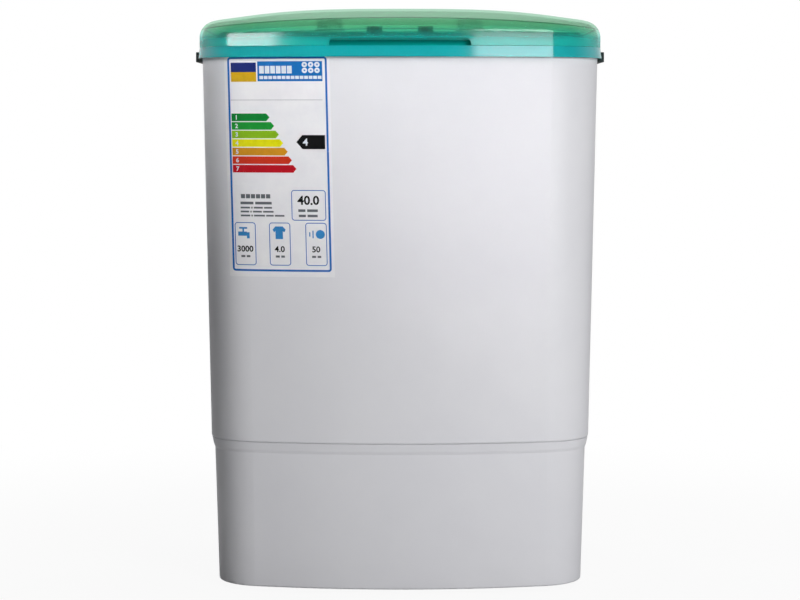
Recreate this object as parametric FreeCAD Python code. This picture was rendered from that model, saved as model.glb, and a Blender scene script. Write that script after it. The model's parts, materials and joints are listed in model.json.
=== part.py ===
import FreeCAD, Part
import math
import os

from FreeCAD import Vector

# Portable top-loading washing machine, in millimetres.
# The origin is on the floor under the middle of the cabinet, +Z is up and the front faces -Y.

# Cabinet outline, taken at the lower edge of the top frame
FRAME_WIDTH = 416.0
FRAME_DEPTH = 380.0
FRONT_BOW_R = 622.0
FRONT_CORNER_R = 72.0
REAR_CORNER_R = 60.0

# Heights of the stacked mouldings
FOOT_DROP = 5.0
BASE_HEIGHT = 150.0
CASING_HEIGHT = 391.0
BAND_HEIGHT = 11.0

# Clearances
SEAT_GAP = 0.3
RUN_FIT = 0.05
SCREW_ROOM = 0.3

# Outer casing
CASING_SETBACK = 4.5
CASING_LEAN = 7.2
CASING_T = 2.6
CASING_LIP_W = 11.0
SEAM_SCREW_SET = 7.0
CASING_LIP_T = 3.5
CASING_EDGE_R = 2.4

# Base skirt
BEAD_SETBACK = 12.3
BEAD_LEAN = 1.6
BEAD_HEIGHT = 8.0
BEAD_FOOT_HEIGHT = 3.0
SKIRT_SETBACK = 15.2
SKIRT_LEAN = 3.8
SKIRT_T = 2.6
SKIRT_EDGE_R = 2.0
LEDGE_T = 3.0
COLLAR_HEIGHT = 8.0
PLATE_RIM_W = 9.0
PLATE_RIM_T = 4.0
VENT_COUNT = 9
VENT_WIDTH = 4.0
VENT_HEIGHT = 46.0
VENT_PITCH = 10.0
VENT_RISE = 70.0

# Bottom plate and feet
PLATE_T = 3.0
PLATE_RECESS = 1.0
FOOT_R = 15.0
FOOT_SIDE_SET = 80.0
FOOT_END_SET = 82.0
FOOT_TAPER = 2.0
FLOOR_SLOT_COUNT = 7
FLOOR_SLOT_LENGTH = 70.0
FLOOR_SLOT_WIDTH = 5.0
FLOOR_SLOT_PITCH = 12.0

# Screws: shank radius, head radius and head height
SCREW_R = 2.0
SCREW_HEAD_R = 3.8
SCREW_HEAD_H = 2.4
BOLT_R = 3.0
BOLT_HEAD_R = 5.5
BOLT_HEAD_H = 4.0

# Wash tub
TUB_GAP = 8.4
TUB_BACK_GAP = 7.0
TUB_REAR_R = 45.0
TUB_LEAN = 14.0
TUB_T = 2.8
TUB_FLANGE_T = 3.0
TUB_FLOOR_RISE = 35.0
TUB_FLOOR_R = 24.0
DISH_DEPTH = 6.0
DISH_GAP = 3.0
DISH_LAND = 2.5

# Overflow at the rear of the tub
OVERFLOW_SHIFT = 48.0
OVERFLOW_DROP = 85.0
OVERFLOW_PIPE_R = 8.0
OVERFLOW_BEND_R = 14.0
GRILLE_SHIFT = 24.0
GRILLE_W = 80.0
GRILLE_H = 84.0
GRILLE_DEPTH = 9.0
GRILLE_T = 2.2
GRILLE_SLOTS = 7
GRILLE_SLOT_H = 4.0

# Top frame and control deck
FRAME_T = 2.6
BAND_LEAN = 1.5
DECK_DEPTH = 75.0
DECK_RISE = 24.0
DECK_EDGE_R = 9.0
PANEL_T = 1.6
PANEL_MARGIN = 10.0
PANEL_CORNER_R = 9.0

# Lid
LID_BACK_GAP = 3.0
LID_T = 2.6
LID_SIDE_H = 24.0
LID_CROWN_FRONT = 30.0
LID_CROWN_MID = 43.0
LID_CROWN_REAR = 34.0
LID_FULLNESS = 3.2
LID_STATIONS = 8
LID_EDGE_R = 17.0
PULL_WIDTH = 142.0
PULL_HEIGHT = 7.0
PULL_DEPTH = 9.0
LIP_HEIGHT = 3.4
LIP_PROUD = 1.4
LIP_OVERHANG = 3.0

# Lid hinge
HINGE_RISE = 36.0
HINGE_SET = 8.0
KNUCKLE_X = 28.5
KNUCKLE_W = 9.5
KNUCKLE_R = 6.0
HINGE_PIN_R = 2.5
EAR_T = 3.5
EAR_GAP = 0.4
HINGE_RIB_PITCH = 14.2
HINGE_RIB_T = 2.0
BRACKET_HALF_W = 44.0
BRACKET_T = 2.4
RECESS_DEPTH = 15.0

# Side grips
GRIP_PROUD = 3.0
GRIP_LENGTH = 92.0
GRIP_Y = -50.0
GRIP_RISE = 7.0
GRIP_LEDGE = 3.0
GRIP_END_R = 3.0

# Drive: pulsator, shaft and bearing housing
PULSATOR_LIFT = 3.0
PULSATOR_T = 3.6
PULSATOR_RIM_H = 7.0
HUB_HEIGHT = 32.0
HUB_R = 17.0
VANE_COUNT = 4
VANE_HEIGHT = 27.0
VANE_WIDTH = 18.0
VANE_SWEEP = 34.0
HOLE_R = 2.6
HOLES_PER_VANE = 4
SHAFT_R = 6.0
SHAFT_END_R = 4.0
SEAL_R = 11.0
SEAL_H = 8.0
BUSH_R = 10.0
BUSH_L = 24.0
HOUSING_NOSE_R = 15.5
HOUSING_R = 15.0
HOUSING_TAPER = 2.0
HOUSING_L = 88.0
HOUSING_FLANGE_R = 33.0
HOUSING_FLANGE_T = 6.0
HOUSING_RIBS = 4
HOUSING_BOLT_CIRCLE_R = 25.0
NUT_R = 7.5
NUT_H = 7.0

# Belt drive
PULLEY_GAP = 8.7
BELT_H = 6.0
BELT_TOP_W = 10.0
BELT_BOTTOM_W = 6.4
DRIVEN_PITCH_R = 61.0
MOTOR_PITCH_R = 18.0
GROOVE_ROOM = 0.4
PULLEY_LAND = 1.6
PULLEY_W = 16.0
PULLEY_SPOKES = 5
WEB_T = 5.0
RIM_T = 7.0

# Motor
MOTOR_SIDE_SET = 104.0
MOTOR_BACK_SET = 152.0
STACK_R = 48.0
STACK_H = 40.0
STACK_BORE_R = 28.0
AIR_GAP = 0.6
BELL_H = 14.0
BELL_T = 3.0
BELL_VENTS = 6
BEARING_BOSS_R = 11.0
BEARING_BOSS_L = 13.0
MOTOR_SHAFT_R = 5.0
WINDING_H = 8.0
EAR_REACH = 58.0
MOTOR_EAR_R = 8.0
MOTOR_EAR_T = 4.0
GROMMET_H = 4.0
BRACKET_PLATE_T = 2.5
BRACKET_FLANGE_H = 10.0
BRACKET_BOSS_X = 56.0
BRACKET_BOSS_Y = 42.0
BRACKET_MARGIN = 10.0
BRACKET_CORNER_R = 8.0
BRACKET_BOLT_L = 10.0
TUB_BOSS_R = 6.0
FAN_R = 38.0
FAN_H = 5.0
FAN_GAP = 1.0
FAN_BLADES = 8
FAN_BLADE_T = 2.0

# Run capacitor
CAPACITOR_SIDE_SET = 66.0
CAPACITOR_Y = 20.0
CAPACITOR_R = 17.5
CAPACITOR_H = 62.0
STRAP_T = 1.5
STRAP_H = 14.0
STRAP_RISE = 22.0

# Controls
KNOB_X = 80.0
KNOB_BACK_SET = 30.0
KNOB_R = 17.0
KNOB_TOP_R = 14.0
KNOB_H = 16.0
KNOB_SKIRT_H = 4.0
KNOB_FLUTES = 14
KNOB_FLUTE_R = 1.6
SPINDLE_R = 3.0
TIMER_W = 38.0
TIMER_H = 34.0
TIMER_CORNER_R = 5.0

# Drain: valve, strap and cam
DRAIN_TRAVEL = 12.0
DRAIN_TURN = 90.0
CAM_CLEARANCE = 0.7
VALVE_R = 19.0
VALVE_T = 2.5
VALVE_H = 64.0
SEAT_RISE = 30.0
SEAT_T = 3.0
SEAT_BORE_R = 9.0
INLET_RISE = 48.0
OUTLET_RISE = 14.0
NOZZLE_R = 15.0
NOZZLE_T = 2.6
NOZZLE_L = 20.0
NOZZLE_SHIFT = 22.0
SUMP_PIPE_T = 2.2
SUMP_BEND_R = 30.0
SUMP_DROP = 3.2
OUTLET_R = 11.0
OUTLET_BORE_R = 8.0
OUTLET_FLANGE_R = 17.0
OUTLET_FLANGE_T = 2.5
SPIGOT_L = 12.0
PLUNGER_R = 13.0
PLUNGER_H = 8.0
STEM_R = 3.0
STEM_NECK_R = 2.0
STEM_NECK_H = 3.0
STEM_HEAD_H = 3.0
STRAP_W = 10.0
DRAIN_STRAP_T = 2.0
FOLLOWER_R = 2.2
CAM_R = 14.0
CAM_DRUM_R = 7.0
CAM_RAMP_T = 3.0
CAM_OVERRUN = 20.0
CAM_DROP = 22.0
SPRING_WIRE_R = 0.8
SPRING_R = 8.0
SPRING_TURNS = 5
SPRING_STEPS = 12
CAP_T = 4.0

# Cable gland and wiring
GLAND_SIDE_SET = 90.0
GLAND_RISE = 42.0
GLAND_R = 8.0
GLAND_FLANGE_R = 11.0
GLAND_FLANGE_T = 3.0
GLAND_NOSE = 9.0
GLAND_BORE_R = 3.8
WIRE_R = 3.5
WIRE_SHIFT = 12.0
WIRE_BEND_R = 35.0

# Levels that follow from the heights above
Z_BASE = FOOT_DROP
Z_SEAM = Z_BASE + BASE_HEIGHT
Z_FRAME = Z_SEAM + CASING_HEIGHT
Z_LID = Z_FRAME + BAND_HEIGHT
Z_DECK = Z_LID + DECK_RISE
Z_PANEL = Z_DECK + PANEL_T
Z_TUB_TOP = Z_LID - FRAME_T
Z_CASING_TOP = Z_TUB_TOP - TUB_FLANGE_T
Z_TUB_FLOOR = Z_SEAM + TUB_FLOOR_RISE
Z_DISH = Z_TUB_FLOOR - DISH_DEPTH
Z_DISH_UNDER = Z_DISH - TUB_T
Z_PULSATOR = Z_DISH + PULSATOR_LIFT
Z_HUB_TOP = Z_PULSATOR + HUB_HEIGHT
Z_HOUSING_LOW = Z_DISH_UNDER - HOUSING_L
Z_PLATE = Z_BASE + PLATE_RECESS
Z_PLATE_TOP = Z_PLATE + PLATE_T
Z_BRACKET = Z_DISH_UNDER - HOUSING_FLANGE_T - BRACKET_PLATE_T - BOLT_HEAD_H
Z_EAR = Z_BRACKET - GROMMET_H
Z_STACK_TOP = Z_EAR - BELL_H
Z_STACK_LOW = Z_STACK_TOP - STACK_H
Z_BELL_LOW = Z_STACK_LOW - BELL_H
Z_BELT = Z_BELL_LOW - FAN_GAP - FAN_H - PULLEY_GAP - PULLEY_W / 2
Z_VALVE = Z_DISH_UNDER - NOZZLE_L - SUMP_BEND_R - SUMP_DROP - INLET_RISE
Z_VALVE_TOP = Z_VALVE + VALVE_H
Z_INLET = Z_VALVE + INLET_RISE
Z_OUTLET = Z_VALVE + OUTLET_RISE
Z_SEAT = Z_VALVE + SEAT_RISE
Z_OVERFLOW = Z_TUB_TOP - OVERFLOW_DROP
Z_GLAND = Z_BASE + GLAND_RISE
Z_HINGE = Z_FRAME + HINGE_RISE
Z_UNDER_DECK = Z_DECK - FRAME_T
Z_SPINDLE_TOP = Z_PANEL + SEAT_GAP + KNOB_H - 3.0
Z_CAM = Z_UNDER_DECK - TIMER_H / 2 - CAM_DROP
HALF_WIDTH = FRAME_WIDTH / 2
HALF_DEPTH = FRAME_DEPTH / 2
DECK_FRONT = HALF_DEPTH - DECK_DEPTH
LID_REAR = DECK_FRONT - LID_BACK_GAP
TUB_REAR = DECK_FRONT - TUB_BACK_GAP
HINGE_Y = LID_REAR + HINGE_SET
KNOB_Y = HALF_DEPTH - KNOB_BACK_SET
VALVE_Y = KNOB_Y - CAM_R - CAM_CLEARANCE - DRAIN_STRAP_T - SEAT_GAP - STEM_R
DRAIN_X = -KNOB_X
MOTOR_X = HALF_WIDTH - MOTOR_SIDE_SET
MOTOR_Y = HALF_DEPTH - MOTOR_BACK_SET
CAPACITOR_X = CAPACITOR_SIDE_SET - HALF_WIDTH
OVERFLOW_X = DRAIN_X - OVERFLOW_SHIFT
GRILLE_X = OVERFLOW_X + GRILLE_SHIFT
GLAND_X = HALF_WIDTH - GLAND_SIDE_SET
WIRE_X = KNOB_X + WIRE_SHIFT
WIRE_Y = KNOB_Y - WIRE_SHIFT
UP = Vector(0, 0, 1)
BACK = Vector(0, 1, 0)
RIGHT = Vector(1, 0, 0)


class Plan:
    """A rounded outline with a bowed front, the same on both sides of X = 0."""

    def __init__(self, half_width, front, rear, bow_r, front_r, rear_r):
        self.half_width = half_width
        self.front = front
        self.rear = rear
        self.bow_r = bow_r
        self.front_r = front_r
        self.rear_r = rear_r

    def inset(self, d):
        """The parallel outline that lies d further in."""
        return Plan(
            self.half_width - d,
            self.front + d,
            self.rear - d,
            self.bow_r - d,
            self.front_r - d,
            max(self.rear_r - d, 0.0),
        )

    def side_points(self):
        """Where bow, corner and side meet on the right, with the corner arc's middle."""
        bow_y = self.front + self.bow_r
        corner_x = self.half_width - self.front_r
        corner_y = bow_y - math.sqrt((self.bow_r - self.front_r) ** 2 - corner_x**2)
        turn = math.atan2(corner_y - bow_y, corner_x)
        meet = Vector(self.bow_r * math.cos(turn), bow_y + self.bow_r * math.sin(turn), 0)
        middle = Vector(
            corner_x + self.front_r * math.cos(turn / 2),
            corner_y + self.front_r * math.sin(turn / 2),
            0,
        )
        side = Vector(self.half_width, corner_y, 0)
        return meet, middle, side

    def rear_edges(self, lift):
        """Sides and back, from the right side's start round to the left side's end."""
        side = self.side_points()[2]
        r = self.rear_r
        flat_x = self.half_width - r
        flat_y = self.rear - r
        slant = r * math.sqrt(0.5)
        edges = [line(lift(side), lift(Vector(self.half_width, flat_y, 0)))]
        if r > 0:
            start = lift(Vector(self.half_width, flat_y, 0))
            middle = lift(Vector(flat_x + slant, flat_y + slant, 0))
            edges.append(arc(start, middle, lift(Vector(flat_x, self.rear, 0))))
        edges.append(line(lift(Vector(flat_x, self.rear, 0)), lift(Vector(-flat_x, self.rear, 0))))
        if r > 0:
            start = lift(Vector(-flat_x, self.rear, 0))
            middle = lift(Vector(-flat_x - slant, flat_y + slant, 0))
            edges.append(arc(start, middle, lift(Vector(-self.half_width, flat_y, 0))))
        edges.append(line(lift(Vector(-self.half_width, flat_y, 0)), lift(mirrored(side))))
        return edges

    def wire(self, z):
        """The closed outline at height z."""

        def lift(p):
            return Vector(p.x, p.y, z)

        meet, middle, side = self.side_points()
        bow = arc(lift(mirrored(meet)), Vector(0, self.front, z), lift(meet))
        right = arc(lift(meet), lift(middle), lift(side))
        left = arc(lift(mirrored(side)), lift(mirrored(middle)), lift(mirrored(meet)))
        return Part.Wire([bow, right] + self.rear_edges(lift) + [left])

    def prism(self, z0, z1):
        """The straight solid on this outline between two heights."""
        return Part.Face(self.wire(z0)).extrude(UP * (z1 - z0))


def mirrored(p):
    return Vector(-p.x, p.y, p.z)


def line(a, b):
    return Part.LineSegment(a, b).toShape()


def arc(a, middle, b):
    return Part.Arc(a, middle, b).toShape()


def stack(plan, levels):
    """A solid through parallel outlines, given as pairs of height and inset."""
    wires = [plan.inset(inset).wire(z) for z, inset in levels]
    return Part.makeLoft(wires, True, True)


def box(x0, x1, y0, y1, z0, z1):
    return Part.makeBox(x1 - x0, y1 - y0, z1 - z0, Vector(x0, y0, z0))


def drum(r, z0, z1, x=0.0, y=0.0):
    return Part.makeCylinder(r, z1 - z0, Vector(x, y, z0), UP)


def drum_back(r, y0, y1, x, z):
    return Part.makeCylinder(r, y1 - y0, Vector(x, y0, z), BACK)


def drum_right(r, x0, x1, y, z):
    return Part.makeCylinder(r, x1 - x0, Vector(x0, y, z), RIGHT)


def tube(r_out, r_in, z0, z1, x=0.0, y=0.0):
    return drum(r_out, z0, z1, x, y).cut(drum(r_in, z0 - 1, z1 + 1, x, y))


def turned(profile, x=0.0, y=0.0):
    """The solid of revolution of (radius, height) points about the upright axis at x, y."""
    points = [Vector(x + r, y, z) for r, z in profile]
    face = Part.Face(Part.makePolygon(points + points[:1]))
    return face.revolve(Vector(x, y, 0), UP, 360)


def turned_back(profile, x, z):
    """The solid of revolution of (radius, y) points about the axis along Y at x, z."""
    points = [Vector(x + r, y, z) for r, y in profile]
    face = Part.Face(Part.makePolygon(points + points[:1]))
    return face.revolve(Vector(x, 0, z), BACK, 360)


def fused(shapes):
    return shapes[0].multiFuse(shapes[1:]).removeSplitter()


def pattern(shape, count, x=0.0, y=0.0, first=0.0):
    """Copies of a shape, evenly spaced round the upright axis at x, y."""
    copies = []
    for i in range(count):
        copy = shape.copy()
        copy.rotate(Vector(x, y, 0), UP, first + 360.0 * i / count)
        copies.append(copy)
    return copies


def rounded_slab(width, depth, z0, z1, r, x=0.0, y=0.0):
    """An upright block with rounded corners, centred on x, y."""
    slab = box(x - width / 2, x + width / 2, y - depth / 2, y + depth / 2, z0, z1)
    upright = [e for e in slab.Edges if abs(e.BoundBox.ZLength - (z1 - z0)) < 1e-6]
    return slab.makeFillet(r, upright)


def rounded_bar(width, z0, z1, r, y0, y1):
    """A bar along Y with rounded corners, centred on X = 0."""
    bar = box(-width / 2, width / 2, y0, y1, z0, z1)
    along = [e for e in bar.Edges if abs(e.BoundBox.YLength - (y1 - y0)) < 1e-6]
    return bar.makeFillet(r, along)


def screw_up(x, y, z, length, r=SCREW_R, head_r=SCREW_HEAD_R, head_h=SCREW_HEAD_H):
    """A screw that points up, its head under the level z."""
    head = [(0, z - head_h), (head_r, z - head_h), (head_r, z)]
    return turned(head + [(r, z), (r, z + length), (0, z + length)], x, y)


def path_wire(points, bend_r):
    """Straight runs joined by tangent arcs of one radius."""
    edges = []
    start = points[0]
    for before, corner, after in zip(points, points[1:], points[2:]):
        back = (before - corner).normalize()
        ahead = (after - corner).normalize()
        half = back.getAngle(ahead) / 2
        reach = bend_r / math.tan(half)
        inward = (back + ahead).normalize()
        middle = corner + inward * (bend_r / math.sin(half) - bend_r)
        edges.append(line(start, corner + back * reach))
        edges.append(arc(corner + back * reach, middle, corner + ahead * reach))
        start = corner + ahead * reach
    edges.append(line(start, points[-1]))
    return Part.Wire(edges)


def swept(path, r):
    """A round bar along a path."""
    first = path.Edges[0]
    start = first.valueAt(first.FirstParameter)
    profile = Part.Wire(Part.makeCircle(r, start, first.tangentAt(first.FirstParameter)))
    return path.makePipeShell([profile], True, False)


def between(z, low, high):
    """The inset at height z on the straight line between two (height, inset) pairs."""
    return low[1] + (high[1] - low[1]) * (z - low[0]) / (high[0] - low[0])


CABINET = Plan(HALF_WIDTH, -HALF_DEPTH, HALF_DEPTH, FRONT_BOW_R, FRONT_CORNER_R, REAR_CORNER_R)
TUB_INSET = CASING_SETBACK + CASING_T + TUB_GAP
TUB = Plan(
    HALF_WIDTH - TUB_INSET,
    -HALF_DEPTH + TUB_INSET,
    TUB_REAR,
    FRONT_BOW_R - TUB_INSET,
    FRONT_CORNER_R - TUB_INSET,
    TUB_REAR_R,
)
LID = Plan(
    HALF_WIDTH - BAND_LEAN,
    -HALF_DEPTH + BAND_LEAN,
    LID_REAR,
    FRONT_BOW_R - BAND_LEAN,
    FRONT_CORNER_R - BAND_LEAN,
    0.0,
)
DRIVE_Y = (TUB.front + TUB.rear) / 2
MOTOR_PULLEY_R = MOTOR_PITCH_R + BELT_H / 2 + PULLEY_LAND
DRIVEN_PULLEY_R = DRIVEN_PITCH_R + BELT_H / 2 + PULLEY_LAND
SIDE_SCREW_Y = 70.0
REAR_SCREW_X = 95.0


def casing_inset(z):
    """How far the casing's outside lies in from the cabinet outline."""
    return between(z, (Z_SEAM, CASING_SETBACK + CASING_LEAN), (Z_FRAME, CASING_SETBACK))


def skirt_inset(z):
    """How far the base skirt's outside lies in from the cabinet outline."""
    top = Z_SEAM - BEAD_HEIGHT - BEAD_FOOT_HEIGHT
    return between(z, (Z_BASE, SKIRT_SETBACK + SKIRT_LEAN), (top, SKIRT_SETBACK))


def tub_inset(z):
    """How far the tub's outside lies in from its rim outline."""
    return between(z, (Z_DISH_UNDER, TUB_LEAN), (Z_TUB_TOP, 0.0))


DISH_R = (TUB.rear - TUB.front) / 2 - tub_inset(Z_TUB_FLOOR) - TUB_FLOOR_R - DISH_LAND
PULSATOR_R = DISH_R - DISH_GAP


def skirt_rear(z):
    """Y of the skirt's outside at the back."""
    return CABINET.rear - skirt_inset(z)


def edges_at(shape, z):
    """The edges of a shape that lie flat at height z."""
    return [e for e in shape.Edges if abs(e.BoundBox.ZMin - z) < 1e-4 and abs(e.BoundBox.ZMax - z) < 1e-4]


def seam_screw_places():
    """X, Y of the screws that hold the casing down on the base, through its lip."""
    d = casing_inset(Z_SEAM) + CASING_T + SEAM_SCREW_SET
    side = CABINET.half_width - d
    back = CABINET.rear - d
    places = [(sx * side, sy * SIDE_SCREW_Y) for sx in (-1, 1) for sy in (-1, 1)]
    return places + [(-REAR_SCREW_X, back), (REAR_SCREW_X, back)]


def plate_screw_places():
    """X, Y of the screws that hold the bottom plate up against the skirt's rim."""
    d = skirt_inset(Z_PLATE_TOP) + SKIRT_T + PLATE_RIM_W / 2
    side = CABINET.half_width - d
    back = CABINET.rear - d
    places = [(sx * side, sy * SIDE_SCREW_Y) for sx in (-1, 1) for sy in (-1, 1)]
    return places + [(-REAR_SCREW_X, back), (REAR_SCREW_X, back)]


def frame_screw_places():
    """X, Y of the screws through the frame's rim into the tub flange."""
    x = TUB.half_width + SCREW_HEAD_R + SEAT_GAP
    return [(sx * x, sy * SIDE_SCREW_Y) for sx in (-1, 1) for sy in (-1, 1)]


def foot_places():
    x = HALF_WIDTH - FOOT_SIDE_SET
    y = HALF_DEPTH - FOOT_END_SET
    return [(sx * x, sy * y) for sx in (-1, 1) for sy in (-1, 1)]


def outer_casing():
    """The white shell, with a turned-in lip at its lower edge."""
    body = stack(CABINET, [(Z_SEAM, casing_inset(Z_SEAM)), (Z_CASING_TOP, casing_inset(Z_CASING_TOP))])
    body = body.makeFillet(CASING_EDGE_R, edges_at(body, Z_SEAM))
    low = Z_SEAM + CASING_LIP_T
    high = Z_CASING_TOP + 1
    hollow = stack(CABINET, [(low, casing_inset(low) + CASING_T), (high, casing_inset(high) + CASING_T)])
    mouth = CABINET.inset(casing_inset(Z_SEAM) + CASING_T + CASING_LIP_W).prism(Z_SEAM - 1, low + 1)
    holes = [drum(SCREW_R + RUN_FIT, Z_SEAM - 1, low + 1, x, y) for x, y in seam_screw_places()]
    return body.cut(fused([hollow, mouth])).cut(Part.makeCompound(holes))


def base_skirt():
    """The base moulding: leaning wall, bead under the seam, inner ledge with a collar, and a rim below."""
    bead_low = Z_SEAM - BEAD_HEIGHT
    wall_top = bead_low - BEAD_FOOT_HEIGHT
    bead_inset = BEAD_SETBACK + BEAD_LEAN
    levels = [
        (Z_BASE, skirt_inset(Z_BASE)),
        (wall_top, skirt_inset(wall_top)),
        (bead_low, bead_inset),
        (Z_SEAM, BEAD_SETBACK),
    ]
    body = stack(CABINET, levels)
    body = body.makeFillet(SKIRT_EDGE_R, edges_at(body, Z_BASE))
    collar_inset = casing_inset(Z_SEAM) + CASING_T + CASING_LIP_W + SEAT_GAP
    collar = CABINET.inset(collar_inset).prism(Z_SEAM - 1, Z_SEAM + COLLAR_HEIGHT)
    throat = CABINET.inset(collar_inset + SKIRT_T).prism(Z_SEAM - LEDGE_T - 1, Z_SEAM + COLLAR_HEIGHT + 1)
    rim_low = Z_PLATE_TOP
    rim_high = rim_low + PLATE_RIM_T
    ledge_low = Z_SEAM - LEDGE_T
    room = stack(
        CABINET,
        [
            (rim_high, skirt_inset(rim_high) + SKIRT_T),
            (wall_top, skirt_inset(wall_top) + SKIRT_T),
            (bead_low, bead_inset + SKIRT_T),
            (ledge_low, bead_inset + SKIRT_T),
        ],
    )
    pocket = stack(
        CABINET,
        [(Z_BASE - 1, skirt_inset(Z_BASE - 1) + SKIRT_T), (rim_low, skirt_inset(rim_low) + SKIRT_T)],
    )
    window_inset = skirt_inset(rim_low) + SKIRT_T + PLATE_RIM_W
    window = CABINET.inset(window_inset).prism(rim_low - 1, rim_high + 1)
    body = body.fuse(collar).cut(throat).cut(room).cut(pocket).cut(window)
    holes = [drum(SCREW_R + SCREW_ROOM, ledge_low - 1, Z_SEAM + 1, x, y) for x, y in seam_screw_places()]
    holes += [drum(SCREW_R + RUN_FIT, rim_low - 1, rim_high + 1, x, y) for x, y in plate_screw_places()]
    outlet_y = skirt_rear(Z_OUTLET)
    holes.append(drum_back(OUTLET_R + SEAT_GAP, outlet_y - 30, outlet_y + 30, DRAIN_X, Z_OUTLET))
    gland_y = skirt_rear(Z_GLAND)
    holes.append(drum_back(GLAND_R + SEAT_GAP, gland_y - 30, gland_y + 30, GLAND_X, Z_GLAND))
    vent_x = -VENT_PITCH * (VENT_COUNT - 1) / 2
    vent_low = Z_BASE + VENT_RISE
    for i in range(VENT_COUNT):
        x = vent_x + VENT_PITCH * i
        y = skirt_rear(vent_low)
        half = VENT_WIDTH / 2
        holes.append(box(x - half, x + half, y - 15, y + 15, vent_low, vent_low + VENT_HEIGHT))
    return body.cut(Part.makeCompound(holes)).removeSplitter()


def bottom_plate():
    """The plate that closes the base, slotted under the motor."""
    inset = skirt_inset(Z_PLATE) + SKIRT_T + SEAT_GAP
    plate = CABINET.inset(inset).prism(Z_PLATE, Z_PLATE_TOP)
    cuts = []
    for i in range(FLOOR_SLOT_COUNT):
        y = MOTOR_Y + FLOOR_SLOT_PITCH * (i - (FLOOR_SLOT_COUNT - 1) / 2)
        slot = rounded_slab(FLOOR_SLOT_LENGTH, FLOOR_SLOT_WIDTH, Z_PLATE - 1, Z_PLATE_TOP + 1, 2, MOTOR_X, y)
        cuts.append(slot)
    for x, y in plate_screw_places():
        cuts.append(drum(SCREW_R + SCREW_ROOM, Z_PLATE - 1, Z_PLATE_TOP + 1, x, y))
    for x, y in foot_places() + [strap_screw_place()]:
        cuts.append(drum(SCREW_R + RUN_FIT, Z_PLATE - 1, Z_PLATE_TOP + 1, x, y))
    return plate.cut(Part.makeCompound(cuts))


def rubber_feet():
    """Four tapered feet with a recess for the screw head."""
    recess = SCREW_HEAD_H + 0.6
    hole_r = SCREW_R + SCREW_ROOM
    head_r = SCREW_HEAD_R + SCREW_ROOM
    profile = [
        (head_r, 0),
        (FOOT_R - FOOT_TAPER, 0),
        (FOOT_R, Z_PLATE),
        (hole_r, Z_PLATE),
        (hole_r, recess),
        (head_r, recess),
    ]
    return Part.makeCompound([turned(profile, x, y) for x, y in foot_places()])


def foot_screws():
    z = SCREW_HEAD_H + 0.6
    return Part.makeCompound([screw_up(x, y, z, Z_PLATE_TOP + 1 - z) for x, y in foot_places()])


def casing_screws():
    z = Z_SEAM - LEDGE_T
    length = LEDGE_T + CASING_LIP_T
    return Part.makeCompound([screw_up(x, y, z, length) for x, y in seam_screw_places()])


def bottom_plate_screws():
    length = PLATE_T + PLATE_RIM_T
    screws = []
    for x, y in plate_screw_places():
        screws.append(screw_up(x, y, Z_PLATE, length, SCREW_R, SCREW_HEAD_R, PLATE_RECESS))
    return Part.makeCompound(screws)


def frame_screws():
    """Pan-head screws that point down from the frame's rim."""
    length = FRAME_T + TUB_FLANGE_T
    screws = []
    for x, y in frame_screw_places():
        screw = screw_up(x, y, 0, length)
        screw.rotate(Vector(x, y, 0), RIGHT, 180)
        screw.translate(UP * Z_LID)
        screws.append(screw)
    return Part.makeCompound(screws)


def tub_form(inset, low, high, floor_r):
    """A tapered tub-shaped block with a rounded floor edge, its sides inset from the tub's outside."""
    form = stack(TUB, [(low, tub_inset(low) + inset), (high, tub_inset(high) + inset)])
    return form.makeFillet(floor_r, edges_at(form, low))


def bracket_boss_places():
    """X, Y of the bosses under the tub that carry the motor bracket."""
    return [
        (MOTOR_X + sx * BRACKET_BOSS_X, MOTOR_Y + sy * BRACKET_BOSS_Y) for sx in (-1, 1) for sy in (-1, 1)
    ]


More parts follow.
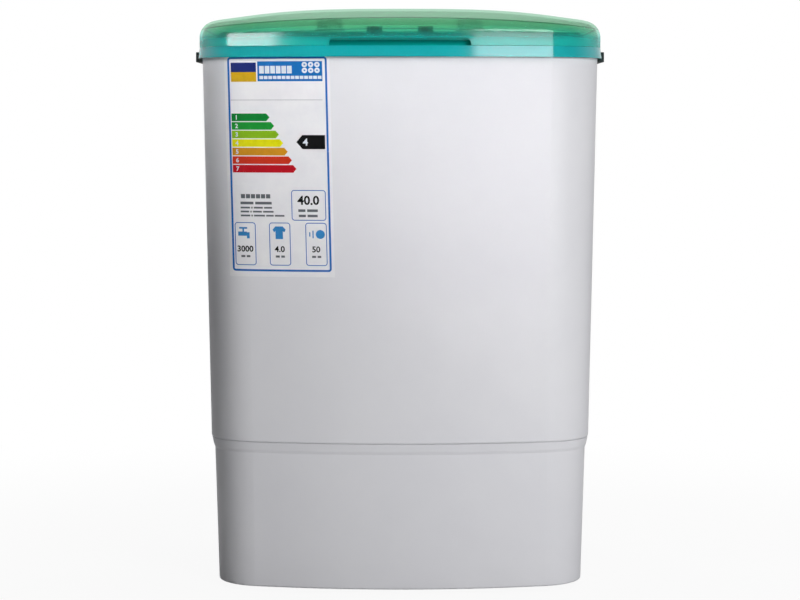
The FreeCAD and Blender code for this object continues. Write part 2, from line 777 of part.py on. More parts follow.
def wash_tub():
    """The inner tub: rim flange, tapered walls, dished floor, drain and overflow nozzles, bracket bosses."""
    floor_under = Z_TUB_FLOOR - TUB_T
    outside = tub_form(0, floor_under, Z_TUB_TOP, TUB_FLOOR_R)
    flange = CABINET.inset(CASING_SETBACK).prism(Z_CASING_TOP, Z_TUB_TOP)
    flange = flange.common(box(-HALF_WIDTH, HALF_WIDTH, -HALF_DEPTH, DECK_FRONT, Z_CASING_TOP, Z_TUB_TOP))
    dish_under = drum(DISH_R + TUB_T, Z_DISH_UNDER, Z_TUB_FLOOR, 0, DRIVE_Y)
    nozzle = drum(NOZZLE_R, Z_DISH_UNDER - NOZZLE_L, Z_DISH, DRAIN_X, DRIVE_Y + NOZZLE_SHIFT)
    wall_y = TUB_REAR - tub_inset(Z_OVERFLOW)
    overflow_end = wall_y + NOZZLE_L
    overflow = drum_back(OVERFLOW_PIPE_R, wall_y - 2 * TUB_T, overflow_end, OVERFLOW_X, Z_OVERFLOW)
    boss_low = Z_BRACKET + BRACKET_PLATE_T
    bosses = [drum(TUB_BOSS_R, boss_low, Z_TUB_FLOOR + 10, x, y) for x, y in bracket_boss_places()]
    body = outside.multiFuse([flange, dish_under, nozzle, overflow] + bosses)
    inside = tub_form(TUB_T, Z_TUB_FLOOR, Z_TUB_TOP + 1, TUB_FLOOR_R - TUB_T)
    dish = drum(DISH_R, Z_DISH, Z_TUB_FLOOR + 1, 0, DRIVE_Y)
    cuts = [inside, dish]
    cuts.append(drum(HOUSING_NOSE_R + SEAT_GAP, Z_DISH_UNDER - 1, Z_DISH + 1, 0, DRIVE_Y))
    nozzle_low = Z_DISH_UNDER - NOZZLE_L - 1
    cuts.append(drum(NOZZLE_R - NOZZLE_T, nozzle_low, Z_DISH + 1, DRAIN_X, DRIVE_Y + NOZZLE_SHIFT))
    bore_r = OVERFLOW_PIPE_R - NOZZLE_T
    cuts.append(drum_back(bore_r, wall_y - 3 * TUB_T, overflow_end + 1, OVERFLOW_X, Z_OVERFLOW))
    pilot = Z_BRACKET + BRACKET_BOLT_L + 1
    cuts += [drum(BOLT_R + RUN_FIT, 0, pilot, x, y) for x, y in bracket_boss_places()]
    cuts += [drum(SCREW_R + RUN_FIT, Z_CASING_TOP - 1, Z_TUB_TOP + 1, x, y) for x, y in frame_screw_places()]
    cuts += [drum(BOLT_R + RUN_FIT, Z_DISH_UNDER - 1, Z_DISH + 1, x, y) for x, y in housing_bolt_places()]
    return body.cut(Part.makeCompound(cuts)).removeSplitter()


def overflow_grille():
    """A slotted cover over the overflow, its open back on the tub's rear wall."""
    wall_y = TUB_REAR - tub_inset(Z_OVERFLOW) - TUB_T
    z0 = Z_OVERFLOW - GRILLE_H / 2
    z1 = Z_OVERFLOW + GRILLE_H / 2
    x0 = GRILLE_X - GRILLE_W / 2
    x1 = GRILLE_X + GRILLE_W / 2
    front = wall_y - GRILLE_DEPTH
    cover = box(x0, x1, front, wall_y + TUB_T, z0, z1)
    room = box(
        x0 + GRILLE_T, x1 - GRILLE_T, front + GRILLE_T, wall_y + 2 * TUB_T, z0 + GRILLE_T, z1 - GRILLE_T
    )
    pitch = (GRILLE_H - 2 * GRILLE_T) / GRILLE_SLOTS
    slots = []
    for i in range(GRILLE_SLOTS):
        z = z0 + GRILLE_T + pitch * (i + 0.5)
        slots.append(
            box(
                x0 + 8, x1 - 8, front - 1, front + GRILLE_T + 1, z - GRILLE_SLOT_H / 2, z + GRILLE_SLOT_H / 2
            )
        )
    inside = tub_form(TUB_T, Z_TUB_FLOOR, Z_TUB_TOP, TUB_FLOOR_R - TUB_T)
    return cover.cut(room).cut(Part.makeCompound(slots)).common(inside)


def top_frame():
    """The teal rim that caps the casing, with the raised control deck behind the lid."""
    band = stack(CABINET, [(Z_FRAME, 0.0), (Z_LID, BAND_LEAN)])
    deck = deck_form(BAND_LEAN, DECK_FRONT, Z_LID - FRAME_T, Z_DECK, DECK_EDGE_R)
    under = stack(CABINET, [(Z_FRAME - 1, FRAME_T), (Z_TUB_TOP, BAND_LEAN + FRAME_T)])
    opening = TUB.inset(TUB_T).prism(Z_FRAME, Z_LID + 1)
    recess = hinge_recess(0.0)
    room = deck_form(
        BAND_LEAN + FRAME_T, DECK_FRONT + FRAME_T, Z_FRAME, Z_DECK - FRAME_T, DECK_EDGE_R - FRAME_T
    ).cut(hinge_recess(FRAME_T))
    body = band.fuse(deck).cut(fused([under, opening])).cut(recess).cut(room)
    holes = [
        drum(SPINDLE_R + 1, Z_UNDER_DECK - 1, Z_DECK + 1, KNOB_X, KNOB_Y),
        drum(SPINDLE_R + 1, Z_UNDER_DECK - 1, Z_DECK + 1, DRAIN_X, KNOB_Y),
    ]
    holes += [drum(SCREW_R + SCREW_ROOM, Z_TUB_TOP - 1, Z_LID + 1, x, y) for x, y in frame_screw_places()]
    return body.cut(Part.makeCompound(holes)).removeSplitter()


def deck_form(inset, front, z0, z1, edge_r):
    """The deck's block behind a front plane, with its upper outer edge rounded."""
    form = CABINET.inset(inset).prism(z0, z1).common(box(-HALF_WIDTH, HALF_WIDTH, front, HALF_DEPTH, z0, z1))
    rim = [e for e in edges_at(form, z1) if e.BoundBox.YMax - front > 1e-3]
    return form.makeFillet(edge_r, rim)


def hinge_recess(margin):
    """The pocket in the deck's front that holds the hinge bracket."""
    half = BRACKET_HALF_W + SEAT_GAP + margin
    return box(-half, half, DECK_FRONT - 1, DECK_FRONT + RECESS_DEPTH + margin, Z_LID - margin, Z_DECK + 1)


def control_panel():
    """The plate on the deck, with a hole for each spindle."""
    front = DECK_FRONT + RECESS_DEPTH + FRAME_T
    rear = CABINET.rear - BAND_LEAN - DECK_EDGE_R
    width = FRAME_WIDTH - 2 * (BAND_LEAN + DECK_EDGE_R + PANEL_MARGIN + REAR_CORNER_R / 4)
    plate = rounded_slab(width, rear - front, Z_DECK, Z_PANEL, PANEL_CORNER_R, 0, (rear + front) / 2)
    holes = [drum(SPINDLE_R + 1, Z_DECK - 1, Z_PANEL + 1, x, KNOB_Y) for x in (KNOB_X, DRAIN_X)]
    return plate.cut(Part.makeCompound(holes))


def roof(drop):
    """The block under the lid's domed top, lowered by drop: level side edges and a full crown."""
    plan = LID
    wires = []
    stations = 5
    for i in range(stations):
        share = i / (stations - 1)
        y = plan.front - 5 + (plan.rear + 10 - plan.front) * share
        crown = lid_crown(y) - drop
        side = Z_LID + LID_SIDE_H - drop
        x = plan.half_width
        bow = lid_bow(x, y, side, crown)
        low = Z_LID - 10
        wires.append(
            Part.Wire(
                [
                    bow,
                    line(Vector(x, y, side), Vector(x, y, low)),
                    line(Vector(x, y, low), Vector(-x, y, low)),
                    line(Vector(-x, y, low), Vector(-x, y, side)),
                ]
            )
        )
    return Part.makeLoft(wires, True, False)


def lid_bow(half, y, side, crown):
    """The lid's line across at y: flat in the middle, falling towards both sides as a power of x."""
    points = []
    for i in range(-LID_STATIONS, LID_STATIONS + 1):
        share = i / LID_STATIONS
        points.append(Vector(half * share, y, side + (crown - side) * (1 - abs(share) ** LID_FULLNESS)))
    curve = Part.BSplineCurve()
    curve.interpolate(points)
    return curve.toShape()


def lid_crown(y):
    """Height of the lid's middle line at y, a parabola through its front, middle and rear heights."""
    front = LID.front + LID_EDGE_R
    a = LID_CROWN_FRONT - LID_CROWN_MID
    b = LID_CROWN_REAR - LID_CROWN_MID
    bend = (a / front - b / LID.rear) / (front - LID.rear)
    slope = a / front - bend * front
    return Z_LID + LID_CROWN_MID + slope * y + bend * y * y


def lid_form(inset, low):
    """The lid's domed block, inset all round, with its upper edge rounded at the front and sides."""
    plan = LID.inset(inset)
    form = plan.prism(low, Z_LID + 2 * LID_CROWN_MID).common(roof(inset))
    rim = [
        e
        for e in form.Edges
        if e.BoundBox.ZMin > low + LID_SIDE_H / 2 and e.BoundBox.YMin < plan.rear - 1
    ]
    return form.makeFillet(LID_EDGE_R - inset, rim)


def lid_shell():
    """The tinted lid: a domed shell with a finger pull under a lip at the front."""
    low = Z_LID + SEAT_GAP
    outside = lid_form(0.0, low)
    inside = lid_form(LID_T, low - 1)
    pull = front_band(-5, PULL_DEPTH, PULL_WIDTH, low - 5, low + PULL_HEIGHT)
    pull_wall = front_band(-5, PULL_DEPTH + LID_T, PULL_WIDTH + 2 * LID_T, low - 8, low + PULL_HEIGHT + LID_T)
    lip_low = low + PULL_HEIGHT
    lip = front_band(-LIP_PROUD, LID_T / 2, PULL_WIDTH + 2 * LIP_OVERHANG, lip_low, lip_low + LIP_HEIGHT)
    return fused([outside.cut(pull), lip]).cut(inside.cut(pull_wall))


def front_band(outer, inner, width, z0, z1):
    """A band that follows the lid's bowed front between two insets, with rounded ends."""
    band = LID.inset(outer).prism(z0, z1).cut(LID.inset(inner).prism(z0 - 1, z1 + 1))
    return band.common(rounded_bar(width, z0, z1, (z1 - z0) * 0.45, LID.front - 10, LID.front + 60))


def lid_knuckles():
    """The two dark lugs on the lid's rear wall, with eyes for the hinge pins."""
    lugs = []
    for x in (-KNUCKLE_X, KNUCKLE_X):
        x0 = x - KNUCKLE_W / 2
        x1 = x + KNUCKLE_W / 2
        eye = drum_right(KNUCKLE_R, x0, x1, HINGE_Y, Z_HINGE)
        arm = box(x0, x1, LID_REAR, HINGE_Y, Z_HINGE - KNUCKLE_R, Z_HINGE + KNUCKLE_R / 2)
        bore = drum_right(HINGE_PIN_R + RUN_FIT, x0 - 1, x1 + 1, HINGE_Y, Z_HINGE)
        lugs.append(eye.fuse(arm).cut(bore).removeSplitter())
    return Part.makeCompound(lugs)


def ear_spans():
    """X ranges of the bracket's ears, one on each side of both knuckles."""
    reach = KNUCKLE_W / 2 + EAR_GAP
    spans = []
    for x in (-KNUCKLE_X, KNUCKLE_X):
        spans.append((x - reach - EAR_T, x - reach))
        spans.append((x + reach, x + reach + EAR_T))
    return spans


def hinge_bracket():
    """The bracket in the deck's recess: back plate and foot, four ears and three ribs."""
    back_y = DECK_FRONT + RECESS_DEPTH
    foot = box(-BRACKET_HALF_W, BRACKET_HALF_W, LID_REAR + 3, back_y, Z_LID, Z_LID + BRACKET_T)
    back = box(-BRACKET_HALF_W, BRACKET_HALF_W, back_y - BRACKET_T, back_y, Z_LID, Z_DECK)
    pieces = [foot, back]
    for x0, x1 in ear_spans():
        pieces.append(box(x0, x1, HINGE_Y - KNUCKLE_R, back_y, Z_LID, Z_HINGE - KNUCKLE_R / 2))
        pieces.append(drum_right(KNUCKLE_R, x0, x1, HINGE_Y, Z_HINGE))
        pieces.append(box(x0, x1, HINGE_Y, back_y, Z_LID, Z_DECK))
    for i in (-1, 0, 1):
        x = HINGE_RIB_PITCH * i
        half = HINGE_RIB_T / 2
        pieces.append(box(x - half, x + half, HINGE_Y - KNUCKLE_R, back_y, Z_LID, Z_DECK))
    bores = [
        drum_right(HINGE_PIN_R + RUN_FIT, x0 - 1, x1 + 1, HINGE_Y, Z_HINGE) for x0, x1 in ear_spans()
    ]
    return fused(pieces).cut(Part.makeCompound(bores)).removeSplitter()


def hinge_pins():
    reach = KNUCKLE_W / 2 + EAR_GAP + EAR_T
    pins = [
        drum_right(HINGE_PIN_R, x - reach, x + reach, HINGE_Y, Z_HINGE) for x in (-KNUCKLE_X, KNUCKLE_X)
    ]
    return Part.makeCompound(pins)


def carry_grips():
    """A dark hooked ledge on each side of the rim, under and outside the band."""
    grips = []
    low = Z_FRAME - SEAT_GAP - GRIP_LEDGE
    outer = HALF_WIDTH + GRIP_PROUD
    inner = HALF_WIDTH - casing_inset(Z_FRAME) + SEAT_GAP
    front = GRIP_Y - GRIP_LENGTH / 2
    rear = GRIP_Y + GRIP_LENGTH / 2
    for side in (-1, 1):
        ledge = box(inner, outer, front, rear, low, Z_FRAME - SEAT_GAP)
        cheek = box(HALF_WIDTH + SEAT_GAP, outer, front, rear, low, Z_FRAME + GRIP_RISE)
        grip = ledge.fuse(cheek).removeSplitter()
        ends = [
            e
            for e in grip.Edges
            if abs(e.BoundBox.ZMax - Z_FRAME - GRIP_RISE) < 1e-6 and e.BoundBox.XLength < GRIP_PROUD + 1
            and e.BoundBox.YLength < 1e-6 and e.BoundBox.XLength > 1
        ]
        grip = grip.makeFillet(GRIP_END_R, ends)
        if side < 0:
            grip = grip.mirror(Vector(0, 0, 0), RIGHT)
        grips.append(grip)
    return Part.makeCompound(grips)


def pulsator():
    """The moulded pulsator: a dished shell with a raised hub, swept vanes and rings of holes."""
    z = Z_PULSATOR
    rim = PULSATOR_R
    top = [
        (HUB_R, HUB_HEIGHT),
        (HUB_R + 6, HUB_HEIGHT - 4),
        (HUB_R + 13, HUB_HEIGHT - 14),
        (HUB_R + 26, PULSATOR_RIM_H + 4),
        (rim - 14, PULSATOR_RIM_H),
        (rim - 3, PULSATOR_RIM_H - 1),
        (rim, PULSATOR_RIM_H - 4),
        (rim, 0),
    ]
    t = PULSATOR_T
    under = [
        (rim - t, 0),
        (rim - t, PULSATOR_RIM_H - t - 1),
        (HUB_R + 26, PULSATOR_RIM_H + 4 - t),
        (HUB_R + 11, HUB_HEIGHT - 14 - t),
        (HUB_R - 2, HUB_HEIGHT - 5 - t),
        (HUB_R - 4, HUB_HEIGHT - 5 - t),
        (HUB_R - 4, 0),
        (0, 0),
    ]
    profile = [(0, HUB_HEIGHT)] + top + under
    disc = turned([(r, z + h) for r, h in profile], 0, DRIVE_Y)
    floor = turned(
        [(0, z + 1), (rim - 2, z + 1), (rim - 2, z + 2), (HUB_R + 30, z + 6), (HUB_R, z + 12), (0, z + 12)],
        0,
        DRIVE_Y,
    )
    vanes = [v.cut(floor) for v in pattern(vane(), VANE_COUNT, 0, DRIVE_Y)]
    body = disc.multiFuse(vanes)
    recess = drum(SCREW_HEAD_R + 4, z + HUB_HEIGHT - 4, z + HUB_HEIGHT + 1, 0, DRIVE_Y)
    bore = drum(SHAFT_R + RUN_FIT, z - 1, z + HUB_HEIGHT - 10, 0, DRIVE_Y)
    screw_hole = drum(SCREW_R + SCREW_ROOM, z, z + HUB_HEIGHT, 0, DRIVE_Y)
    cuts = [recess, bore, screw_hole]
    for i in range(HOLES_PER_VANE):
        r = HUB_R + 32 + 11 * i
        hole = drum(HOLE_R, z - 1, z + HUB_HEIGHT, r, DRIVE_Y)
        cuts += pattern(hole, VANE_COUNT, 0, DRIVE_Y, 180.0 / VANE_COUNT + VANE_SWEEP * (0.25 + 0.18 * i))
    return body.cut(Part.makeCompound(cuts)).removeSplitter()


def vane():
    """One swept vane, lofted through arched sections that shrink towards the rim."""
    sections = []
    reaches = (6.0, 34.0, 62.0, PULSATOR_R - 8)
    heights = (VANE_HEIGHT + 2, VANE_HEIGHT, VANE_HEIGHT * 0.72, PULSATOR_RIM_H + 1)
    widths = (VANE_WIDTH, VANE_WIDTH, VANE_WIDTH * 0.86, VANE_WIDTH * 0.55)
    for reach, height, width in zip(reaches, heights, widths):
        turn = math.radians(VANE_SWEEP) * (reach / PULSATOR_R) ** 2
        out = Vector(math.cos(turn), math.sin(turn), 0)
        across = Vector(-out.y, out.x, 0)
        foot = Vector(0, DRIVE_Y, Z_PULSATOR + 2) + out * reach
        shoulder = UP * (height * 0.55)
        left = foot - across * (width / 2)
        right = foot + across * (width / 2)
        left_top = foot - across * (width / 2 * 0.8) + shoulder
        right_top = foot + across * (width / 2 * 0.8) + shoulder
        crown = foot + UP * height
        sides = [line(left, right), line(right, right_top), line(left_top, left)]
        sections.append(Part.Wire(sides[:2] + [arc(right_top, crown, left_top)] + sides[2:]))
    return Part.makeLoft(sections, True, False)


def pulsator_screw():
    z = Z_HUB_TOP - 4
    screw = screw_up(0, DRIVE_Y, 0, 18)
    screw.rotate(Vector(0, DRIVE_Y, 0), RIGHT, 180)
    screw.translate(UP * z)
    return screw


def drive_shaft():
    """The stepped pulsator shaft, drilled for its screw, with a thinner threaded end."""
    top = Z_HUB_TOP - 10 - SEAT_GAP
    pulley_low = Z_BELT - PULLEY_W / 2
    low = pulley_low - NUT_H - 2
    profile = [(0, low), (SHAFT_END_R, low), (SHAFT_END_R, pulley_low)]
    profile += [(SHAFT_R, pulley_low), (SHAFT_R, top), (0, top)]
    shaft = turned(profile, 0, DRIVE_Y)
    return shaft.cut(drum(SCREW_R + RUN_FIT, top - 14, top + 1, 0, DRIVE_Y))


def shaft_seal():
    """The lip seal in the nose of the bearing housing."""
    z1 = Z_DISH + 1
    z0 = z1 - SEAL_H
    inner = SHAFT_R + RUN_FIT
    profile = [(inner, z0), (SEAL_R, z0), (SEAL_R, z1), (SEAL_R - 2, z1)]
    profile += [(SEAL_R - 2, z0 + 2), (inner + 1, z0 + 2), (inner + 1, z1), (inner, z1)]
    return turned(profile, 0, DRIVE_Y)


def bush(z0):
    return tube(BUSH_R, SHAFT_R + RUN_FIT, z0, z0 + BUSH_L, 0, DRIVE_Y)


def upper_bush():
    return bush(Z_DISH + 1 - SEAL_H - BUSH_L)


def lower_bush():
    return bush(Z_HOUSING_LOW)


def housing_bolt_places():
    return [
        (
            HOUSING_BOLT_CIRCLE_R * math.cos(math.radians(45 + 90 * i)),
            DRIVE_Y + HOUSING_BOLT_CIRCLE_R * math.sin(math.radians(45 + 90 * i)),
        )
        for i in range(4)
    ]


def bearing_housing():
    """The cast housing under the tub: nose through the floor, ribbed flange, body bored for two bushes."""
    top = Z_DISH + 1
    flange = Z_DISH_UNDER
    profile = [
        (0, Z_HOUSING_LOW),
        (HOUSING_R, Z_HOUSING_LOW),
        (HOUSING_R + HOUSING_TAPER, flange - HOUSING_FLANGE_T),
        (HOUSING_FLANGE_R, flange - HOUSING_FLANGE_T),
        (HOUSING_FLANGE_R, flange),
        (HOUSING_NOSE_R, flange),
        (HOUSING_NOSE_R, top),
        (0, top),
    ]
    body = turned(profile, 0, DRIVE_Y)
    rib_points = [
        Vector(HOUSING_R - 2, DRIVE_Y - 2, Z_HOUSING_LOW + 18),
        Vector(HOUSING_FLANGE_R - 4, DRIVE_Y - 2, flange - HOUSING_FLANGE_T),
        Vector(HOUSING_R - 2, DRIVE_Y - 2, flange - HOUSING_FLANGE_T),
    ]
    rib = Part.Face(Part.makePolygon(rib_points + rib_points[:1])).extrude(BACK * 4)
    ribs = pattern(rib, HOUSING_RIBS, 0, DRIVE_Y)
    body = body.multiFuse(ribs)
    upper = top - SEAL_H - BUSH_L
    lower = Z_HOUSING_LOW + BUSH_L
    cuts = [
        drum(SEAL_R + RUN_FIT, top - SEAL_H, top + 1, 0, DRIVE_Y),
        drum(BUSH_R + RUN_FIT, upper, top - SEAL_H, 0, DRIVE_Y),
        drum(BUSH_R - 2, lower, upper, 0, DRIVE_Y),
        drum(BUSH_R + RUN_FIT, Z_HOUSING_LOW - 1, lower, 0, DRIVE_Y),
    ]
    low = flange - HOUSING_FLANGE_T - 1
    cuts += [drum(BOLT_R + SCREW_ROOM, low, flange + 1, x, y) for x, y in housing_bolt_places()]
    return body.cut(Part.makeCompound(cuts)).removeSplitter()


def housing_bolts():
    z = Z_DISH_UNDER - HOUSING_FLANGE_T
    length = HOUSING_FLANGE_T + TUB_T
    return Part.makeCompound(
        [screw_up(x, y, z, length, BOLT_R, BOLT_HEAD_R, BOLT_HEAD_H) for x, y in housing_bolt_places()]
    )


def groove(pitch_r):
    """The V-groove section of a pulley as (radius, height) points, deepest in the middle."""
    slope = (BELT_TOP_W - BELT_BOTTOM_W) / 2 / BELT_H
    outer = pitch_r + BELT_H / 2 + PULLEY_LAND
    inner = pitch_r - BELT_H / 2 - PULLEY_LAND
    mouth = BELT_TOP_W / 2 + slope * PULLEY_LAND + GROOVE_ROOM
    root = BELT_BOTTOM_W / 2 - slope * PULLEY_LAND + GROOVE_ROOM
    return [(outer, mouth), (inner, root), (inner, -root), (outer, -mouth)]


def driven_pulley():
    """The big pulley: grooved rim, thin web with round windows, and a hub up to the lower bush."""
    half = PULLEY_W / 2
    rim_in = DRIVEN_PITCH_R - BELT_H / 2 - PULLEY_LAND - RIM_T
    hub_r = SHAFT_R + 7
    hub_top = Z_HOUSING_LOW - SEAT_GAP - Z_BELT
    bore = SHAFT_R + RUN_FIT
    profile = [(bore, hub_top), (hub_r, hub_top), (hub_r, WEB_T / 2), (rim_in, WEB_T / 2), (rim_in, half)]
    profile += [(DRIVEN_PULLEY_R, half)] + groove(DRIVEN_PITCH_R) + [(DRIVEN_PULLEY_R, -half)]
    profile += [(rim_in, -half), (rim_in, -WEB_T / 2), (hub_r, -WEB_T / 2), (hub_r, -half), (bore, -half)]
    body = turned([(r, Z_BELT + h) for r, h in profile], 0, DRIVE_Y)
    window_r = (rim_in - hub_r) / 2 - 5
    window = drum(window_r, Z_BELT - half, Z_BELT + half, (rim_in + hub_r) / 2, DRIVE_Y)
    return body.cut(Part.makeCompound(pattern(window, PULLEY_SPOKES, 0, DRIVE_Y)))


def hex_nut(r, z0, z1, bore_r, x, y):
    """A six-sided nut, r across its corners."""
    turns = [math.pi * i / 3 for i in range(7)]
    points = [Vector(x + r * math.cos(turn), y + r * math.sin(turn), z0) for turn in turns]
    nut = Part.Face(Part.makePolygon(points)).extrude(UP * (z1 - z0))
    return nut.cut(drum(bore_r, z0 - 1, z1 + 1, x, y))


def pulley_nut():
    top = Z_BELT - PULLEY_W / 2
    return hex_nut(NUT_R, top - NUT_H, top, SHAFT_END_R + RUN_FIT, 0, DRIVE_Y)


def motor_pulley():
    half = PULLEY_W / 2
    bore = MOTOR_SHAFT_R + RUN_FIT
    profile = [(bore, half), (MOTOR_PULLEY_R, half)] + groove(MOTOR_PITCH_R)
    profile += [(MOTOR_PULLEY_R, -half), (bore, -half)]
    return turned([(r, Z_BELT + h) for r, h in profile], MOTOR_X, MOTOR_Y)


def belt_loop(shift):
    """The closed belt line round both pulleys, shift outside the pitch line."""
    a = Vector(0, DRIVE_Y, Z_BELT)
    b = Vector(MOTOR_X, MOTOR_Y, Z_BELT)
    ra = DRIVEN_PITCH_R + shift
    rb = MOTOR_PITCH_R + shift
    along = b - a
    heading = math.atan2(along.y, along.x)
    spread = math.acos((ra - rb) / along.Length)

    def on(centre, r, angle):
        return centre + Vector(r * math.cos(angle), r * math.sin(angle), 0)

    a1 = on(a, ra, heading + spread)
    a2 = on(a, ra, heading - spread)
    b1 = on(b, rb, heading + spread)
    b2 = on(b, rb, heading - spread)
    far = on(a, ra, heading + math.pi)
    near = on(b, rb, heading)
    return Part.Wire([arc(a1, far, a2), line(a2, b2), arc(b2, near, b1), line(b1, a1)])


def belt_layer(shift, width):
    """The belt line as a wire at one edge of the belt, width / 2 above the middle plane."""
    wire = belt_loop(shift)
    wire.translate(UP * (width / 2))
    return wire


def drive_belt():
    """The V-belt: a tapered loop, its outside wider than its inside."""
    half = BELT_H / 2
    outer = Part.Face(belt_layer(half, -BELT_TOP_W)).extrude(UP * BELT_TOP_W)
    inner = Part.Face(belt_layer(-half, -BELT_TOP_W)).extrude(UP * BELT_TOP_W)
    loop = outer.cut(inner)
    slope = (BELT_TOP_W - BELT_BOTTOM_W) / 2
    trims = []
    for sign in (-1, 1):
        level = sign * BELT_TOP_W
        flat = belt_layer(half, level)
        sunk = belt_layer(-half, level - sign * 2 * slope)
        wedge = Part.makeLoft([flat, sunk], False, True)
        cap = Part.Face([belt_layer(half, level), belt_layer(-half, level)])
        side = Part.makeLoft([belt_layer(-half, level), sunk], False, True)
        trims.append(Part.Solid(Part.Shell(wedge.Faces + cap.Faces + side.Faces)))
    for trim in trims:
        loop = loop.cut(trim)
    return loop


def motor_ear_places():
    d = EAR_REACH * math.sqrt(0.5)
    return [(MOTOR_X + sx * d, MOTOR_Y + sy * d) for sx in (-1, 1) for sy in (-1, 1)]


def motor_stator():
    """The lamination stack, with four flats on its outside."""
    body = tube(STACK_R, STACK_BORE_R, Z_STACK_LOW, Z_STACK_TOP, MOTOR_X, MOTOR_Y)
    across = STACK_R * 0.94
    return body.common(
        box(MOTOR_X - across, MOTOR_X + across, MOTOR_Y - across, MOTOR_Y + across, Z_STACK_LOW, Z_STACK_TOP)
    )


def motor_windings():
    """The winding heads above and below the stack."""
    r0 = STACK_BORE_R + 3
    r1 = STACK_R - BELL_T - 5
    heads = []
    for face, side in ((Z_STACK_TOP, 1), (Z_STACK_LOW, -1)):
        shoulder = WINDING_H - 2
        points = [(r0, 0), (r1, 0), (r1, shoulder), (r1 - 2, WINDING_H), (r0 + 2, WINDING_H), (r0, shoulder)]
        heads.append(turned([(r, face + side * h) for r, h in points], MOTOR_X, MOTOR_Y))
    return Part.makeCompound(heads)


def end_bell(face, side):
    """A cup that closes the motor from the stack's face, with vents and a bearing boss."""
    r = STACK_R * 0.94
    boss = BEARING_BOSS_R
    bore = MOTOR_SHAFT_R + RUN_FIT
    points = [
        (bore, BELL_H),
        (r - 4, BELL_H),
        (r, BELL_H - 4),
        (r, 0),
        (r - BELL_T, 0),
        (r - BELL_T, BELL_H - BELL_T - 1),
        (boss, BELL_H - BELL_T),
        (boss, BELL_H - BEARING_BOSS_L),
        (bore, BELL_H - BEARING_BOSS_L),
    ]
    bell = turned([(radius, face + side * h) for radius, h in points], MOTOR_X, MOTOR_Y)
    reach = (r + boss) / 2
    vent = drum((r - boss) / 2 - 7, face - 30, face + 30, MOTOR_X + reach, MOTOR_Y)
    return bell, pattern(vent, BELL_VENTS, MOTOR_X, MOTOR_Y, 30.0)


def motor_upper_bell():
    """The upper end bell, with four ears for the mounting bolts."""
    bell, vents = end_bell(Z_STACK_TOP, 1)
    bell = bell.cut(Part.makeCompound(vents))
    ears = []
    for x, y in motor_ear_places():
        pad = drum(MOTOR_EAR_R, Z_EAR - MOTOR_EAR_T, Z_EAR, x, y)
        arm = box(0, EAR_REACH, -MOTOR_EAR_R, MOTOR_EAR_R, Z_EAR - MOTOR_EAR_T, Z_EAR)
        arm = arm.cut(drum(STACK_R * 0.94 - BELL_T, Z_EAR - BELL_H, Z_EAR + 1))
        arm.rotate(Vector(0, 0, 0), UP, math.degrees(math.atan2(y - MOTOR_Y, x - MOTOR_X)))
        arm.translate(Vector(MOTOR_X, MOTOR_Y, 0))
        ears += [pad, arm]
    ear_low = Z_EAR - MOTOR_EAR_T - 1
    holes = [drum(BOLT_R + SCREW_ROOM, ear_low, Z_EAR + 1, x, y) for x, y in motor_ear_places()]
    return bell.multiFuse(ears).cut(Part.makeCompound(holes)).removeSplitter()


def motor_lower_bell():
    bell, vents = end_bell(Z_STACK_LOW, -1)
    return bell.cut(Part.makeCompound(vents))


def rotor_core():
    return tube(
        STACK_BORE_R - AIR_GAP, MOTOR_SHAFT_R + RUN_FIT, Z_STACK_LOW, Z_STACK_TOP, MOTOR_X, MOTOR_Y
    )


def rotor_shaft():
    low = Z_BELT - PULLEY_W / 2 - 4
    return drum(MOTOR_SHAFT_R, low, Z_STACK_TOP + BELL_H, MOTOR_X, MOTOR_Y)


def cooling_fan():
    """The fan between the lower bell and the pulley."""
    top = Z_BELL_LOW - FAN_GAP
    disc = tube(FAN_R, MOTOR_SHAFT_R + RUN_FIT, top - 1.6, top, MOTOR_X, MOTOR_Y)
    blade = box(
        MOTOR_X + MOTOR_SHAFT_R + 8,
        MOTOR_X + FAN_R - 1,
        MOTOR_Y - FAN_BLADE_T / 2,
        MOTOR_Y + FAN_BLADE_T / 2,
        top - FAN_H,
        top - 1,
    )
    hub = tube(MOTOR_SHAFT_R + 5, MOTOR_SHAFT_R + RUN_FIT, top - FAN_H, top, MOTOR_X, MOTOR_Y)
    return fused([disc, hub] + pattern(blade, FAN_BLADES, MOTOR_X, MOTOR_Y))


def motor_bracket():
    """The pressed plate under the tub that carries the motor, with turned-down flanges."""
    half_x = BRACKET_BOSS_X + BRACKET_MARGIN
    half_y = BRACKET_BOSS_Y + BRACKET_MARGIN
    top = Z_BRACKET + BRACKET_PLATE_T
    plate = rounded_slab(2 * half_x, 2 * half_y, Z_BRACKET, top, BRACKET_CORNER_R, MOTOR_X, MOTOR_Y)
    flanges = []
    for sx in (-1, 1):
        x = MOTOR_X + sx * (half_x - BRACKET_PLATE_T / 2)
        flanges.append(
            box(
                x - BRACKET_PLATE_T / 2,
                x + BRACKET_PLATE_T / 2,
                MOTOR_Y - half_y + BRACKET_CORNER_R,
                MOTOR_Y + half_y - BRACKET_CORNER_R,
                Z_BRACKET - BRACKET_FLANGE_H,
                top,
            )
        )
    holes = [drum(BEARING_BOSS_R + 12, Z_BRACKET - 1, top + 1, MOTOR_X, MOTOR_Y)]
    holes += [drum(BOLT_R + SCREW_ROOM, Z_BRACKET - 1, top + 1, x, y) for x, y in motor_ear_places()]
    holes += [drum(BOLT_R + SCREW_ROOM, Z_BRACKET - 1, top + 1, x, y) for x, y in bracket_boss_places()]
    return fused([plate] + flanges).cut(Part.makeCompound(holes))


def bracket_bolts():
    bolts = []
    for x, y in bracket_boss_places():
        bolts.append(screw_up(x, y, Z_BRACKET, BRACKET_BOLT_L, BOLT_R, BOLT_HEAD_R, BOLT_HEAD_H))
    return Part.makeCompound(bolts)


